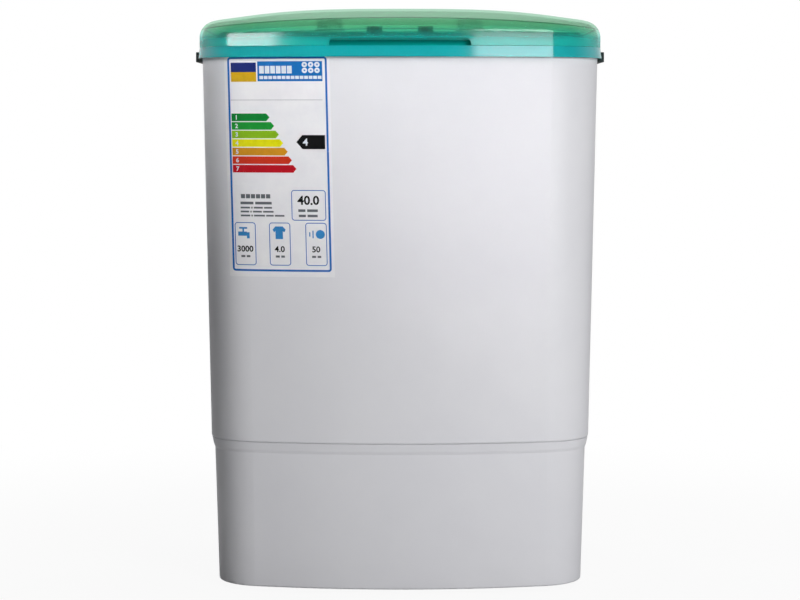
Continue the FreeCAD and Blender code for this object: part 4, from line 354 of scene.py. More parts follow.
@dataclass(frozen=True)
class TintedFinish:
    """Tinted clear plastic: a gloss skin over colour, mixed with light that passes through.

    A pair whose name ends in z is a ramp by height. Other pairs are values at a ramp's ends.
    """

    name: str
    low_colour: str
    high_colour: str
    low_tint: str
    high_tint: str
    change_z: Pair
    cloud_z: Pair
    clear_share: Pair
    worn_z: Pair
    roughness: Pair
    ior: float
    sheen_most: float
    flow_mm: float
    sway: float = 0.004
    relief_mm: float = 0.02
    skin_roughness: float = 0.4
    pull: FingerPull = FingerPull()
    shoulder: Shoulder = Shoulder()

    def build(self) -> Material:
        """Builds the material: colour, tint and clarity change with height on the moulding.

        Returns:
            The material, ready for a slot.
        """
        material, tree = empty_material(self.name)
        place = add_node(tree, "ShaderNodeTexCoord", {}, "Object")
        height = add_node(tree, "ShaderNodeSeparateXYZ", (place,), "Z")
        flow = {"Vector": place, "Scale": 1.0 / (self.flow_mm * MM), "Detail": 2.0}
        streaks = add_node(tree, "ShaderNodeTexNoise", flow)
        level = add_node(tree, "ShaderNodeMath", (streaks, self.sway, height), operation="MULTIPLY_ADD")
        ease = {"interpolation_type": "SMOOTHSTEP"}
        rise = add_node(tree, "ShaderNodeMapRange", (level, *self.change_z), **ease)
        clear = add_node(tree, "ShaderNodeMapRange", (level, *self.cloud_z, *self.clear_share), **ease)
        worn = add_node(tree, "ShaderNodeMapRange", (level, *self.worn_z, *self.roughness), **ease)
        recess = self.pull.recess(tree, place)
        # Painted shade for the finger pull's recess, darkest under its lip.
        shadow = self.pull.shadow(tree, height, recess)
        # The crease gets a painted dark line of shade.
        line, crown = self.shoulder.masks(tree, place)
        colour: Socket | Colour = linear(self.low_colour)
        layers = ((rise, self.high_colour), (shadow, self.pull.colour), (line, self.shoulder.colour))
        for share, over in layers:
            shades = {0: share, MIX_A: colour, MIX_B: linear(over)}
            colour = add_node(tree, "ShaderNodeMix", shades, MIX_COLOUR, data_type="RGBA")
        tints = {0: rise, MIX_A: linear(self.low_tint), MIX_B: linear(self.high_tint)}
        tint = add_node(tree, "ShaderNodeMix", tints, MIX_COLOUR, data_type="RGBA")
        relief = add_node(tree, "ShaderNodeBump", {"Height": streaks, "Distance": self.relief_mm * MM})
        normal = self.shoulder.normal(tree, relief, crown)
        surface = {
            "Base Color": colour,
            "Roughness": self.skin_roughness,
            "Specular IOR Level": 0.0,
            "Normal": relief,
        }
        skin = add_node(tree, "ShaderNodeBsdfPrincipled", surface)
        through = add_node(tree, "ShaderNodeBsdfTransparent", {"Color": tint})
        # On the crease the lid is cloudier, so that its painted dark line of shade shows.
        dimmed = {"Value": line, "To Min": clear, "To Max": self.clear_share[0]}
        share = add_node(tree, "ShaderNodeMapRange", dimmed)
        body = add_node(tree, "ShaderNodeMixShader", (share, skin, through))
        mirror = {"Color": linear(WHITE), "Roughness": worn, "Normal": normal}
        gloss = add_node(tree, "ShaderNodeBsdfGlossy", mirror)
        shine = self.sheen(tree, normal, recess)
        coated = add_node(tree, "ShaderNodeMixShader", (shine, body, gloss))
        add_node(tree, "ShaderNodeOutputMaterial", {"Surface": coated})
        return material

    def sheen(self, tree: Tree, normal: Socket, recess: Socket) -> Socket:
        """How much a face mirrors: Fresnel's share up to a scuffed lid's, none inside, and none in the recess
        as painted shade.

        Args:
            tree: the material's node tree.
            normal: the gloss's normal.
            recess: the socket that is 1 in the finger pull's recess.

        Returns:
            The share of gloss, 0 to 1.
        """
        fresnel = add_node(tree, "ShaderNodeFresnel", {"IOR": self.ior, "Normal": normal})
        shine = add_node(tree, "ShaderNodeMath", (fresnel, self.sheen_most), operation="MINIMUM")
        inner = add_node(tree, "ShaderNodeNewGeometry", {}, "Backfacing")
        # Inside faces get no gloss, and the recess loses its gloss as painted shade.
        for dull in (inner, recess):
            bright = add_node(tree, "ShaderNodeMath", (1.0, dull), operation="SUBTRACT")
            shine = add_node(tree, "ShaderNodeMath", (shine, bright), operation="MULTIPLY")
        return shine


class PatchMesh:
    """Collects grids of points as patches of quads and turns them into one object."""

    def __init__(self, name: str) -> None:
        """Starts an empty mesh.

        Args:
            name: the piece's name.
        """
        self.name = name
        self.points: list[Array] = []
        self.faces: list[list[int]] = []
        self.slots: list[Array] = []
        self.count = 0

    def add(self, grid: Array, slot: int = 0) -> None:
        """Adds one patch. Its faces point along rows x columns.

        Args:
            grid: points, of shape rows x columns x 3.
            slot: the material slot of its faces.
        """
        rows, columns = grid.shape[:2]
        index = np.arange(rows * columns).reshape(rows, columns)
        corners = (index[:-1, :-1], index[1:, :-1], index[1:, 1:], index[:-1, 1:])
        self.join(grid.reshape(-1, 3), np.stack(corners, axis=-1).reshape(-1, 4), slot)

    def join(self, points: Array, faces: Array, slot: int = 0) -> None:
        """Adds points and the faces between them, counted from the first of these points.

        Args:
            points: of shape points x 3.
            faces: of shape faces x corners.
            slot: the material slot of the faces.
        """
        self.points.append(points)
        self.faces.extend((faces + self.count).tolist())
        self.slots.append(np.full(len(faces), slot))
        self.count += len(points)

    def build(self, materials: Sequence[Material], thickness_mm: float) -> Piece:
        """Makes the object, with a wall put behind its faces.

        Args:
            materials: what fills the material slots.
            thickness_mm: the wall.

        Returns:
            The object, linked to the scene.
        """
        mesh = bpy.data.meshes.new(self.name)
        mesh.from_pydata(np.concatenate(self.points).tolist(), [], self.faces)
        for material in materials:
            mesh.materials.append(material)
        slots = np.concatenate(self.slots).astype(np.int32)
        mesh.polygons.foreach_set("material_index", slots)
        mesh.update()
        piece = add_object(self.name, mesh)
        wall = piece.modifiers.new("wall", "SOLIDIFY")
        wall.thickness = thickness_mm * MM
        wall.offset = -1.0
        return piece


def mesh_of(curve: bpy.types.Curve) -> bpy.types.Mesh:
    """Turns a curve into a mesh.

    Args:
        curve: a bevelled path, or text.

    Returns:
        The mesh.
    """
    source = bpy.data.objects.new(curve.name, curve)
    mesh = bpy.data.meshes.new_from_object(source)
    bpy.data.objects.remove(source)
    return mesh


def figure_faces(text: str) -> tuple[Array, Array]:
    """Outlines plain figures, centred across, with their foot at 0 and their top at 1.

    Args:
        text: digits and points.

    Returns:
        Flat points of shape points x 2, and triangles between them.
    """
    curve = bpy.data.curves.new("figures", "FONT")
    curve.body = text
    curve.align_x = "CENTER"
    curve.resolution_u = 3
    curve.offset = FIGURE_WEIGHT
    mesh = mesh_of(curve)
    points = np.empty(len(mesh.vertices) * 3)
    mesh.vertices.foreach_get("co", points)
    mesh.calc_loop_triangles()
    corners = np.empty(len(mesh.loop_triangles) * 3, dtype=np.int32)
    mesh.loop_triangles.foreach_get("vertices", corners)
    flat = points.reshape(-1, 3)[:, :2]
    foot, top = flat[:, 1].min(), flat[:, 1].max()
    return (flat - (0.0, foot)) / (top - foot), corners.reshape(-1, 3)


def settle(piece: Piece, body: str) -> None:
    """Fixes a new piece to the part and reports it.

    Args:
        piece: the new piece.
        body: the moving body that it rides on.
    """
    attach(piece, body)
    LOG.info("piece %s rides on %s, %d faces", piece.name, body, len(piece.data.polygons))


def dress(name: str, material: Material) -> None:
    """Gives all slots of a CAD node a material.

    Args:
        name: the node's name.
        material: what it wears.
    """
    mesh = frame["nodes"][name].data
    if not mesh.materials:
        mesh.materials.append(material)
    for slot in range(len(mesh.materials)):
        mesh.materials[slot] = material
    LOG.info("node %s wears %s", name, material.name)


# The numbers of a finish: roughness, then patches, grain and relief in millimetres.

# ABS, injection moulded in a fine spark-eroded tool: satin, a soft sheen, hardly any texture.
WHITE_ABS = Finish("white_abs_satin_moulded", "#EDEDF1", "#E7E7EC", (0.38, 0.46), 160.0, 0.9, 0.006)
# ABS in a polished tool: deep even colour and clear, slightly wavy reflections.
TEAL_ABS = Finish(
    "teal_abs_polished_mould", "#00A8AC", "#009EA2", (0.09, 0.13), 120.0, 14.0, 0.02, specular=0.6
)
# Glass-filled nylon: nearly black and dull.
DARK_NYLON = Finish("dark_nylon_moulded", "#12201F", "#1A2A29", (0.45, 0.6), 12.0, 0.8, 0.03)
# Teal polypropylene of the hinge: waxy and a little uneven.
HINGE_PP = Finish("hinge_polypropylene", "#1F7F78", "#1A726C", (0.35, 0.5), 25.0, 1.0, 0.02)
# Polypropylene wash tub: white and waxy, with a soft sheen.
TUB_PP = Finish("tub_polypropylene", "#EAEEEE", "#E3E8E8", (0.34, 0.44), 110.0, 1.6, 0.01)
# Recycled grey polypropylene for hidden mouldings: matt with a coarse tool texture.
GREY_PP = Finish("grey_polypropylene", "#8E9394", "#83888A", (0.5, 0.65), 40.0, 0.8, 0.05)
# White glossy ABS for knobs, panel and grille.
WHITE_GLOSS = Finish("white_abs_gloss_moulded", "#D8DDDF", "#D0D6D8", (0.2, 0.3), 60.0, 1.2, 0.01)
# Pale blue polypropylene copolymer of the pulsator, with a thin gloss skin.
PULSATOR_PP = Finish(
    "pulsator_polypropylene", "#9CCBD6", "#8FC0CC", (0.24, 0.34), 45.0, 1.2, 0.015, coat=0.2
)
# Natural nylon: creamy, soft gloss.
NATURAL_NYLON = Finish("natural_nylon", "#DEDACB", "#D3CEBC", (0.35, 0.5), 15.0, 0.7, 0.02)
# Moulded black rubber: bloomed, dusty and dull.
RUBBER = Finish("moulded_rubber", "#191A1A", "#252626", (0.65, 0.85), 9.0, 0.5, 0.04)
# Zinc-plated steel, drawn or turned: fine lines along the shank.
ZINC_STEEL = Finish(
    "zinc_plated_steel", "#B9BABC", "#A4A7AA", (0.22, 0.38), 6.0, 0.4, 0.01, Pattern.DRAWN, metallic=1.0
)
# Galvanised sheet: dull grey spangle.
GALVANISED = Finish("galvanised_sheet", "#8B8F93", "#767B80", (0.35, 0.6), 9.0, 3.0, 0.01, metallic=1.0)
# Electrical steel sheets of 0.5 mm, drawn twice as thick so that they show.
LAMINATIONS = Finish(
    "varnished_laminations", "#5A5B5D", "#3C3D40", (0.4, 0.55), 20.0, 1.0, 0.06, Pattern.LAYERED, metallic=0.8
)
# Die-cast aluminium: bright, slightly mottled skin.
CAST_ALUMINIUM = Finish(
    "die_cast_aluminium", "#B4B6B8", "#A0A3A6", (0.38, 0.55), 14.0, 0.9, 0.04, metallic=1.0
)
# Varnished copper wire of about 1 mm, in turns round the motor's axis.
COPPER_WIRE = Finish(
    "varnished_copper_wire", "#A8592B", "#6E3416", (0.25, 0.4), 10.0, 1.1, 0.3, Pattern.WOUND,
    centre=MOTOR_AXIS, metallic=0.7,
)
# Sintered bronze: porous, oil dark.
BRONZE = Finish("sintered_bronze", "#A8813F", "#8A6831", (0.35, 0.5), 4.0, 0.3, 0.02, metallic=1.0)
# Ivory polypropylene can of the capacitor.
CAPACITOR_CAN = Finish("ivory_capacitor_can", "#E6E2D2", "#DBD6C3", (0.35, 0.45), 30.0, 0.8, 0.02)
# Braided sleeve over the loom, its weave about 1.5 mm.
BRAIDED_SLEEVE = Finish("braided_wire_sleeve", "#202124", "#34363A", (0.6, 0.8), 6.0, 1.5, 0.2)
# Uncoated label paper: white with faint fibres.
LABEL_PAPER = Finish("label_paper", "#F6F6F8", "#EFEFF3", (0.42, 0.55), 18.0, 0.7, 0.004)
# SAN lid, injection moulded: clear green, thicker and bluer towards its rim, satin on its crown.
TINTED_SAN = TintedFinish(
    "tinted_san_lid",
    low_colour="#08C4BC",
    high_colour="#4BA07C",
    low_tint="#93EDE6",
    high_tint="#CDF0DC",
    change_z=(0.5670, 0.5820),
    cloud_z=(0.5620, 0.5740),
    clear_share=(0.35, 0.86),
    worn_z=(0.5790, 0.5890),
    roughness=(0.14, 0.55),
    ior=1.57,
    sheen_most=0.28,
    flow_mm=45.0,
)

SLOT_FINISHES: dict[str, Finish | TintedFinish] = {
    "white_plastic": WHITE_ABS,
    "teal_plastic": TEAL_ABS,
    "tinted_lid": TINTED_SAN,
    "dark_plastic": DARK_NYLON,
    "hinge_plastic": HINGE_PP,
    "tub_plastic": TUB_PP,
    "grey_plastic": GREY_PP,
    "white_fittings": WHITE_GLOSS,
    "pulsator_plastic": PULSATOR_PP,
    "nylon": NATURAL_NYLON,
    "rubber": RUBBER,
    "steel": ZINC_STEEL,
    "pressed_steel": GALVANISED,
    "laminations": LAMINATIONS,
    "cast_aluminium": CAST_ALUMINIUM,
    "copper_wire": COPPER_WIRE,
    "bronze": BRONZE,
    "capacitor_case": CAPACITOR_CAN,
    "cable_sheath": BRAIDED_SLEEVE,
}


class Ink(Enum):
    """Printing inks of the label and the control panel, each with its hex colour."""

    BLUE = "#2A72C6"
    HEADER_BLUE = "#1E74C4"
    NAVY = "#20307C"
    PALE = "#EAF2FA"
    BLACK = "#101112"
    GREY = "#6C7076"
    PALE_GREY = "#B4B7BC"
    DARK_GREEN = "#0B8A35"
    GREEN = "#1FA23A"
    LIME = "#93C81F"
    YELLOW = "#F4F00E"
    CORN = "#DDB21E"
    GOLD = "#DE9A22"
    RED_ORANGE = "#DD3A1E"
    RED = "#CC1224"
    ICON_BLUE = "#3E8FD0"
    TEAL = "#0C7C80"

    def material(self) -> Material:
        """Builds the ink as an offset print: nearly even colour, dull, a trace of the paper's grain.

        Returns:
            The material, ready for a slot.
        """
        parts = (int(int(self.value[i : i + 2], 16) * INK_SHADE) for i in (1, 3, 5))
        shade = "#" + "".join(f"{part:02X}" for part in parts)
        name = f"offset_ink_{self.name.lower()}"
        return Finish(name, self.value, shade, (0.5, 0.6), 6.0, 0.7, 0.003, specular=0.08).build()


@dataclass
class Cabinet:
    """The moulded cabinet's front, which is the label's ground."""

    frame_z: float = 0.546
    seam_z: float = 0.155
    setback: float = 0.0045
    lean: float = 0.0072
    bow_r: float = 0.622
    corner_r: float = 0.072
    corner_x: float = 0.136
    corner_y: float = -0.1009

    def front_y(self, x: Array, z: Array) -> Array:
        """Y of the casing's outside at the front.

        The plan is a wide bow that runs into two corner arcs, inset by an amount that grows
        downwards: y = bow_y - sqrt((bow_r - d)^2 - x^2), and past the meeting point
        y = corner_y - sqrt((corner_r - d)^2 - (|x| - corner_x)^2).

        Args:
            x: across, to the right.
            z: height.

        Returns:
            Y for each pair of x and z.
        """
        d = self.setback + self.lean * (self.frame_z - z) / (self.frame_z - self.seam_z)
        side = np.abs(x)
        meet = self.corner_x * (self.bow_r - d) / (self.bow_r - self.corner_r)
        bow = BOW_Y - np.sqrt((self.bow_r - d) ** 2 - np.minimum(side, meet) ** 2)
        past = np.clip(side - self.corner_x, 0.0, self.corner_r - d)
        corner = self.corner_y - np.sqrt((self.corner_r - d) ** 2 - past**2)
        return np.where(side <= meet, bow, corner)


# Shapes on the label, in millimetres: u is to the right of its left edge, v below its top edge,
# and a box is its left, top, right and bottom.


@dataclass(frozen=True)
class Crease:
    """A narrow ridge in the paper: a bell across a line and along it."""

    u: float
    v: float
    tilt: float
    length: float
    width: float
    height: float

    def lift(self, u: Array, v: Array) -> Array:
        """Lift of the paper: height exp(-(along / length)^2 - (across / width)^2).

        Args:
            u: places to the right.
            v: places down.

        Returns:
            The lift in metres.
        """
        along = (u - self.u) + self.tilt * (v - self.v)
        across = (v - self.v) - self.tilt * (u - self.u)
        bell = np.exp(-((along / self.length) ** 2) - (across / self.width) ** 2)
        return self.height * MM * bell


@dataclass(frozen=True)
class BlockRow:
    """A row of equal blocks, with a pitch in parts of a block's width."""

    u: float
    v: float
    wide: float
    high: float
    count: int
    pitch: float = 1.2

    def boxes(self) -> list[Box]:
        """The blocks: each starts a pitch after the one before."""
        starts = (self.u + self.pitch * self.wide * np.arange(self.count)).tolist()
        return [(start, self.v, start + self.wide, self.v + self.high) for start in starts]


@dataclass(frozen=True)
class BarLine:
    """A line of bars of given lengths, with gaps in parts of its height."""

    u: float
    v: float
    high: float
    lengths: tuple[float, ...]
    gap: float = 0.7

    def boxes(self) -> list[Box]:
        """The bars: each starts a gap after the end of the one before.

        Returns:
            A box for each length.
        """
        boxes: list[Box] = []
        start = self.u
        for length in self.lengths:
            boxes.append((start, self.v, start + length, self.v + self.high))
            start += length + self.gap * self.high
        return boxes


@dataclass(frozen=True)
class Figures:
    """Plain figures of a height, with their foot's middle at u and v."""

    text: str
    u: float
    v: float
    high: float


@dataclass
class EnergyLabel:
    """A generic paper label: coloured arrows, boxes, blocks, bars, plain numbers and icons.

    Its left edge, its top and its lifts are in metres, and the shapes on it in millimetres. Every
    place to the right, the paper's width too, is stretched.
    """

    cabinet: Cabinet
    left: float = -0.17774
    top: float = 0.5485
    slant: float = 0.0219
    stretch: float = 1.022
    width_mm: float = 105.0
    height_mm: float = 223.6
    paper_mm: float = 0.1
    ink_mm: float = 0.02
    paper_lift: float = 0.00025
    ink_lift: float = 0.0003
    over_lift: float = 0.00004
    step_mm: float = 1.5
    arc_steps: int = 6
    creases: tuple[Crease, ...] = (
        Crease(101.0, 96.5, 0.10, 16.0, 1.6, 0.45),
        Crease(9.0, 131.0, -0.06, 13.0, 1.8, 0.4),
    )
    border: Box = (3.1, 2.3, 102.1, 218.2)
    border_r: float = 3.2
    border_w: float = 2.0
    frame_r: float = 3.0
    frame_w: float = 0.8
    upper_left_block: Box = (6.6, 8.0, 32.0, 17.5)
    lower_left_block: Box = (6.6, 17.5, 32.0, 27.2)
    right_block: Box = (33.3, 6.8, 97.5, 26.8)
    header_rows: tuple[BlockRow, ...] = (
        BlockRow(35.2, 11.4, 4.6, 7.6, 6),
        BlockRow(35.2, 21.4, 3.7, 3.2, 14),
    )
    sign_u: Triple = (80.0, 86.2, 92.4)
    sign_v: Pair = (10.2, 16.0)
    sign_r: Pair = (2.7, 0.9)
    rule: Box = (5.6, 45.2, 97.0, 45.7)
    arrows: tuple[tuple[Ink, float], ...] = (
        (Ink.DARK_GREEN, 44.2),
        (Ink.GREEN, 48.6),
        (Ink.LIME, 53.1),
        (Ink.YELLOW, 57.1),
        (Ink.GOLD, 61.4),
        (Ink.RED_ORANGE, 65.4),
        (Ink.RED, 69.7),
    )
    arrow_u: float = 6.0
    arrow_v: float = 59.0
    arrow_pitch: float = 8.62
    arrow_high: float = 7.7
    arrow_point: float = 0.85
    mark_u: float = 10.9
    mark_foot: float = 6.1
    mark_high: float = 4.5
    pointer: Box = (98.6, 80.6, 70.2, 94.7)
    pointer_mark: Figures = Figures("4", 79.2, 91.2, 7.2)
    note_row: BlockRow = BlockRow(13.4, 140.2, 4.2, 4.2, 6)
    note_lines: tuple[BarLine, ...] = (
        BarLine(12.8, 147.9, 2.6, (13.0, 16.5)),
        BarLine(12.8, 153.0, 1.7, (9.5, 1.4, 9.0, 8.0)),
        BarLine(12.8, 157.0, 1.7, (8.5, 1.4, 9.0, 10.5)),
        BarLine(12.8, 161.0, 1.7, (9.5, 1.4, 11.0, 7.5, 9.5)),
    )
    value_box: Box = (63.7, 135.8, 97.9, 166.6)
    value: Figures = Figures("40.0", 80.6, 150.8, 9.4)
    value_lines: tuple[BarLine, ...] = (
        BarLine(70.4, 155.2, 2.6, (7.0, 10.5)),
        BarLine(70.8, 160.6, 2.4, (7.0, 10.0)),
    )
    foot_boxes: tuple[tuple[float, str], ...] = ((6.2, "3000"), (40.8, "4.0"), (76.9, "50"))
    foot_v: Pair = (168.7, 212.2)
    foot_wide: float = 21.2
    # From a box's left side: the number's middle, foot and height, and the line of bars.
    foot_number: Triple = (10.2, 198.6, 6.2)
    foot_line: BarLine = BarLine(6.0, 202.0, 2.1, (4.0, 3.6))
    tap: tuple[Box, ...] = (
        (10.8, 173.6, 18.8, 175.3),
        (14.0, 175.3, 15.6, 178.2),
        (9.6, 178.2, 18.4, 182.4),
        (18.4, 178.8, 21.2, 185.0),
    )
    shirt: Box = (47.1, 172.6, 54.5, 185.4)
    sleeve_out: Pair = (2.8, 1.4)
    sleeve_top: Pair = (172.6, 175.8)
    sleeve_foot: Pair = (177.4, 178.6)
    sound_disc: Triple = (91.6, 180.4, 4.5)
    sound_bars: tuple[Box, Box] = ((80.6, 178.2, 81.8, 182.6), (83.8, 176.6, 85.0, 184.2))
    mesh: PatchMesh = field(init=False)
    inks: list[Ink] = field(init=False)

    def place(self, flat: Array, lift: float) -> Array:
        """Puts points of the flat label on the casing.

        x = left + stretch u + slant v, z = top - v, and y is the casing's front less the lift.

        Args:
            flat: u and v in the last axis.
            lift: how far off the casing, in metres.

        Returns:
            x, y and z in the last axis.
        """
        u, v = flat[..., 0], flat[..., 1]
        x = self.left + (self.stretch * u + self.slant * v) * MM
        z = self.top - v * MM
        y = self.cabinet.front_y(x, z) - lift - sum(crease.lift(u, v) for crease in self.creases)
        return np.stack([x, y, z], axis=-1)

    def slot(self, ink: Ink) -> int:
        """Finds the material slot of an ink, which is added at its first use.

        Args:
            ink: the colour.

        Returns:
            The slot's number.
        """
        if ink not in self.inks:
            self.inks.append(ink)
        return self.inks.index(ink)

    def along(self, start: float, end: float) -> Array:
        """Stations from start to end, close enough to follow the casing."""
        return np.linspace(start, end, max(2, math.ceil(abs(end - start) / self.step_mm) + 1))

    def band(self, ink: Ink, lower: Array, upper: Array) -> None:
        """Prints the area between two lines: lower + s (upper - lower), s from 0 to 1.

        Args:
            ink: its colour.
            lower: points of one line, u and v.
            upper: as many points of the other line.
        """
        widest = float(np.max(np.linalg.norm(upper - lower, axis=-1)))
        share = self.along(0.0, widest)[None, :, None] / widest
        grid = lower[:, None, :] * (1.0 - share) + upper[:, None, :] * share
        along = np.diff(grid, axis=0)[:, :-1]
        across = np.diff(grid, axis=1)[:-1]
        turn = np.sum(along[..., 0] * across[..., 1] - along[..., 1] * across[..., 0])
        if turn > 0.0:
            grid = grid[:, ::-1]
        self.mesh.add(self.place(grid, self.ink_lift), self.slot(ink))

    def bar(self, ink: Ink, box: Box) -> None:
        """Prints a rectangle: the area between its lower and its upper edge.

        Args:
            ink: its colour.
            box: where it is.
        """
        left, top, right, bottom = box
        u = self.along(left, right)
        lower = np.stack([u, np.full_like(u, bottom)], axis=-1)
        self.band(ink, lower, np.stack([u, np.full_like(u, top)], axis=-1))

    def arrow(self, ink: Ink, box: Box) -> None:
        """Prints a bar that narrows to a tip: its half height falls evenly to 0 past the shoulder.

        Args:
            ink: its colour.
            box: its butt's end, top, tip and bottom. It may point either way.
        """
        butt, top, tip, bottom = box
        middle, half = (top + bottom) / 2, (bottom - top) / 2
        shoulder = tip - math.copysign(half * self.arrow_point, tip - butt)
        u = np.concatenate([self.along(butt, shoulder), self.along(shoulder, tip)[1:]])
        reach = half * np.clip((tip - u) / (tip - shoulder), 0.0, 1.0)
        lower = np.stack([u, middle + reach], axis=-1)
        self.band(ink, lower, np.stack([u, middle - reach], axis=-1))

    def ring(self, ink: Ink, box: Box, r: float, w: float) -> None:
        """Prints a rounded outline: each corner is an arc about its own centre.

        Args:
            ink: its colour.
            box: its outside.
            r: the corners' outer radius.
            w: the line's width, inwards.
        """
        left, top, right, bottom = box
        turn = np.linspace(0.0, math.pi / 2, self.arc_steps + 1)
        arc = np.stack([np.cos(turn), np.sin(turn)], axis=-1)
        centres = ((right - r, bottom - r), (left + r, bottom - r), (left + r, top + r), (right - r, top + r))
        outer: list[Array] = []
        inner: list[Array] = []
        for quarter, centre in enumerate(centres):
            cos, sin = math.cos(quarter * math.pi / 2), math.sin(quarter * math.pi / 2)
            turned = arc @ np.array([[cos, sin], [-sin, cos]])
            outer.append(turned * r + centre)
            inner.append(turned * (r - w) + centre)
        self.band(ink, self.closed(outer), self.closed(inner))

    def closed(self, runs: list[Array]) -> Array:
        """Joins runs of points into a closed line, its straight stretches cut into stations.

        Args:
            runs: the corners' points in order.

        Returns:
            The line's points, as many for the outer as for the inner line of a ring.
        """
        line = np.concatenate(runs + [runs[0][:1]])
        joined = []
        for start, end in zip(line[:-1], line[1:]):
            step = np.abs(end - start)
            reach = self.height_mm if step[1] > step[0] else self.width_mm
            share = self.along(0.0, reach)[:-1, None] / reach
            straight = float(np.max(step)) > self.step_mm
            joined.append(start + (end - start) * share if straight else start[None])
        return np.concatenate(joined + [line[-1:]])

    def disc(self, ink: Ink, u: float, v: float, r: float) -> None:
        """Prints a disc: its half width is r sin t at a height of r cos t.

        Args:
            ink: its colour.
            u: its middle to the right.
            v: its middle down.
            r: its radius.
        """
        turn = np.linspace(0.0, math.pi, 2 * self.arc_steps + 1)
        half, down = r * np.sin(turn), v - r * np.cos(turn)
        self.band(ink, np.stack([u - half, down], axis=-1), np.stack([u + half, down], axis=-1))

    def bars(self, ink: Ink, boxes: Sequence[Box]) -> None:
        """Prints several rectangles in one ink."""
        for box in boxes:
            self.bar(ink, box)

    def figures(self, ink: Ink, mark: Figures) -> None:
        """Prints figures: their outline, scaled to their height.

        Args:
            ink: their colour.
            mark: what they are and where.
        """
        flat, triangles = figure_faces(mark.text)
        places = np.array((mark.u, mark.v)) + flat * (mark.high, -mark.high)
        self.mesh.join(self.place(places, self.ink_lift), triangles, self.slot(ink))

    def paper(self) -> Piece:
        """Makes the sheet: every point of the flat rectangle put on the casing.

        Returns:
            The sheet.
        """
        u = self.along(0.0, self.width_mm)
        v = self.along(self.height_mm, 0.0)
        grid = np.stack(np.meshgrid(u, v, indexing="ij"), axis=-1)
        mesh = PatchMesh("label_paper")
        mesh.add(self.place(grid, self.paper_lift))
        return mesh.build([LABEL_PAPER.build()], self.paper_mm)

    def print_header(self) -> None:
        """Prints the border, and the header's three blocks of colour."""
        self.ring(Ink.BLUE, self.border, self.border_r, self.border_w)
        self.bar(Ink.NAVY, self.upper_left_block)
        self.bar(Ink.CORN, self.lower_left_block)
        self.bar(Ink.HEADER_BLUE, self.right_block)

    def print_header_signs(self) -> None:
        """Prints pale blocks and rings on the header's right block."""
        for row in self.header_rows:
            self.bars(Ink.PALE, row.boxes())
        outer, inner = self.sign_r
        for v in self.sign_v:
            for u in self.sign_u:
                self.disc(Ink.PALE, u, v, outer)
                self.disc(Ink.HEADER_BLUE, u, v, inner)

    def print_arrows(self) -> None:
        """Prints seven coloured arrows that grow downwards, and the pointer beside the fourth."""
        for row, (ink, tip) in enumerate(self.arrows):
            v = self.arrow_v + self.arrow_pitch * row
            self.arrow(ink, (self.arrow_u, v, tip, v + self.arrow_high))
        self.arrow(Ink.BLACK, self.pointer)

    def print_marks(self) -> None:
        """Prints a plain number on each arrow, counted downwards, and one on the pointer."""
        for row in range(len(self.arrows)):
            foot = self.arrow_v + self.arrow_pitch * row + self.mark_foot
            self.figures(Ink.PALE, Figures(str(row + 1), self.mark_u, foot, self.mark_high))
        self.figures(Ink.PALE, self.pointer_mark)

    def print_notes(self) -> None:
        """Prints the rule, the lines of grey bars, and the box with the large value."""
        self.bar(Ink.PALE_GREY, self.rule)
        self.bars(Ink.GREY, self.note_row.boxes())
        for line in self.note_lines:
            self.bars(Ink.GREY, line.boxes())
        self.ring(Ink.BLUE, self.value_box, self.frame_r, self.frame_w)
        self.figures(Ink.BLACK, self.value)
        for line in self.value_lines:
            self.bars(Ink.GREY, line.boxes())

    def print_foot(self) -> None:
        """Prints the three boxes at the foot, each with a plain number and a line of bars."""
        top, bottom = self.foot_v
        across, foot, high = self.foot_number
        for u, text in self.foot_boxes:
            self.ring(Ink.BLUE, (u, top, u + self.foot_wide, bottom), self.frame_r, self.frame_w)
            self.figures(Ink.BLACK, Figures(text, u + across, foot, high))
            self.bars(Ink.GREY, replace(self.foot_line, u=u + self.foot_line.u).boxes())

    def print_icons(self) -> None:
        """Prints a tap, a shirt and a sound sign, each of a few plain shapes."""
        self.bars(Ink.ICON_BLUE, (*self.tap, self.shirt))
        shoulder, cuff = self.sleeve_out
        for seam, way in ((self.shirt[0], -1.0), (self.shirt[2], 1.0)):
            under = np.array([[seam, self.sleeve_foot[0]], [seam + way * cuff, self.sleeve_foot[1]]])
            upper = np.array([[seam, self.sleeve_top[0]], [seam + way * shoulder, self.sleeve_top[1]]])
            self.band(Ink.ICON_BLUE, under, upper)
        self.disc(Ink.ICON_BLUE, *self.sound_disc)
        self.bars(Ink.ICON_BLUE, self.sound_bars)

    def print_layer(self, name: str, prints: Sequence[Callable[[], None]]) -> None:
        """Prints one layer in its own inks.

        Args:
            name: the layer's name.
            prints: what is printed, in order.
        """
        self.mesh, self.inks = PatchMesh(name), []
        for print_part in prints:
            print_part()
        materials = [ink.material() for ink in self.inks]
        settle(self.mesh.build(materials, self.ink_mm), "cabinet")

    def build(self) -> None:
        """Builds the paper and two layers of print on it."""
        settle(self.paper(), "cabinet")
        under = (self.print_header, self.print_arrows, self.print_notes, self.print_foot, self.print_icons)
        self.print_layer("label_print", under)
        self.ink_lift += self.over_lift
        self.print_layer("label_marks", (self.print_header_signs, self.print_marks))


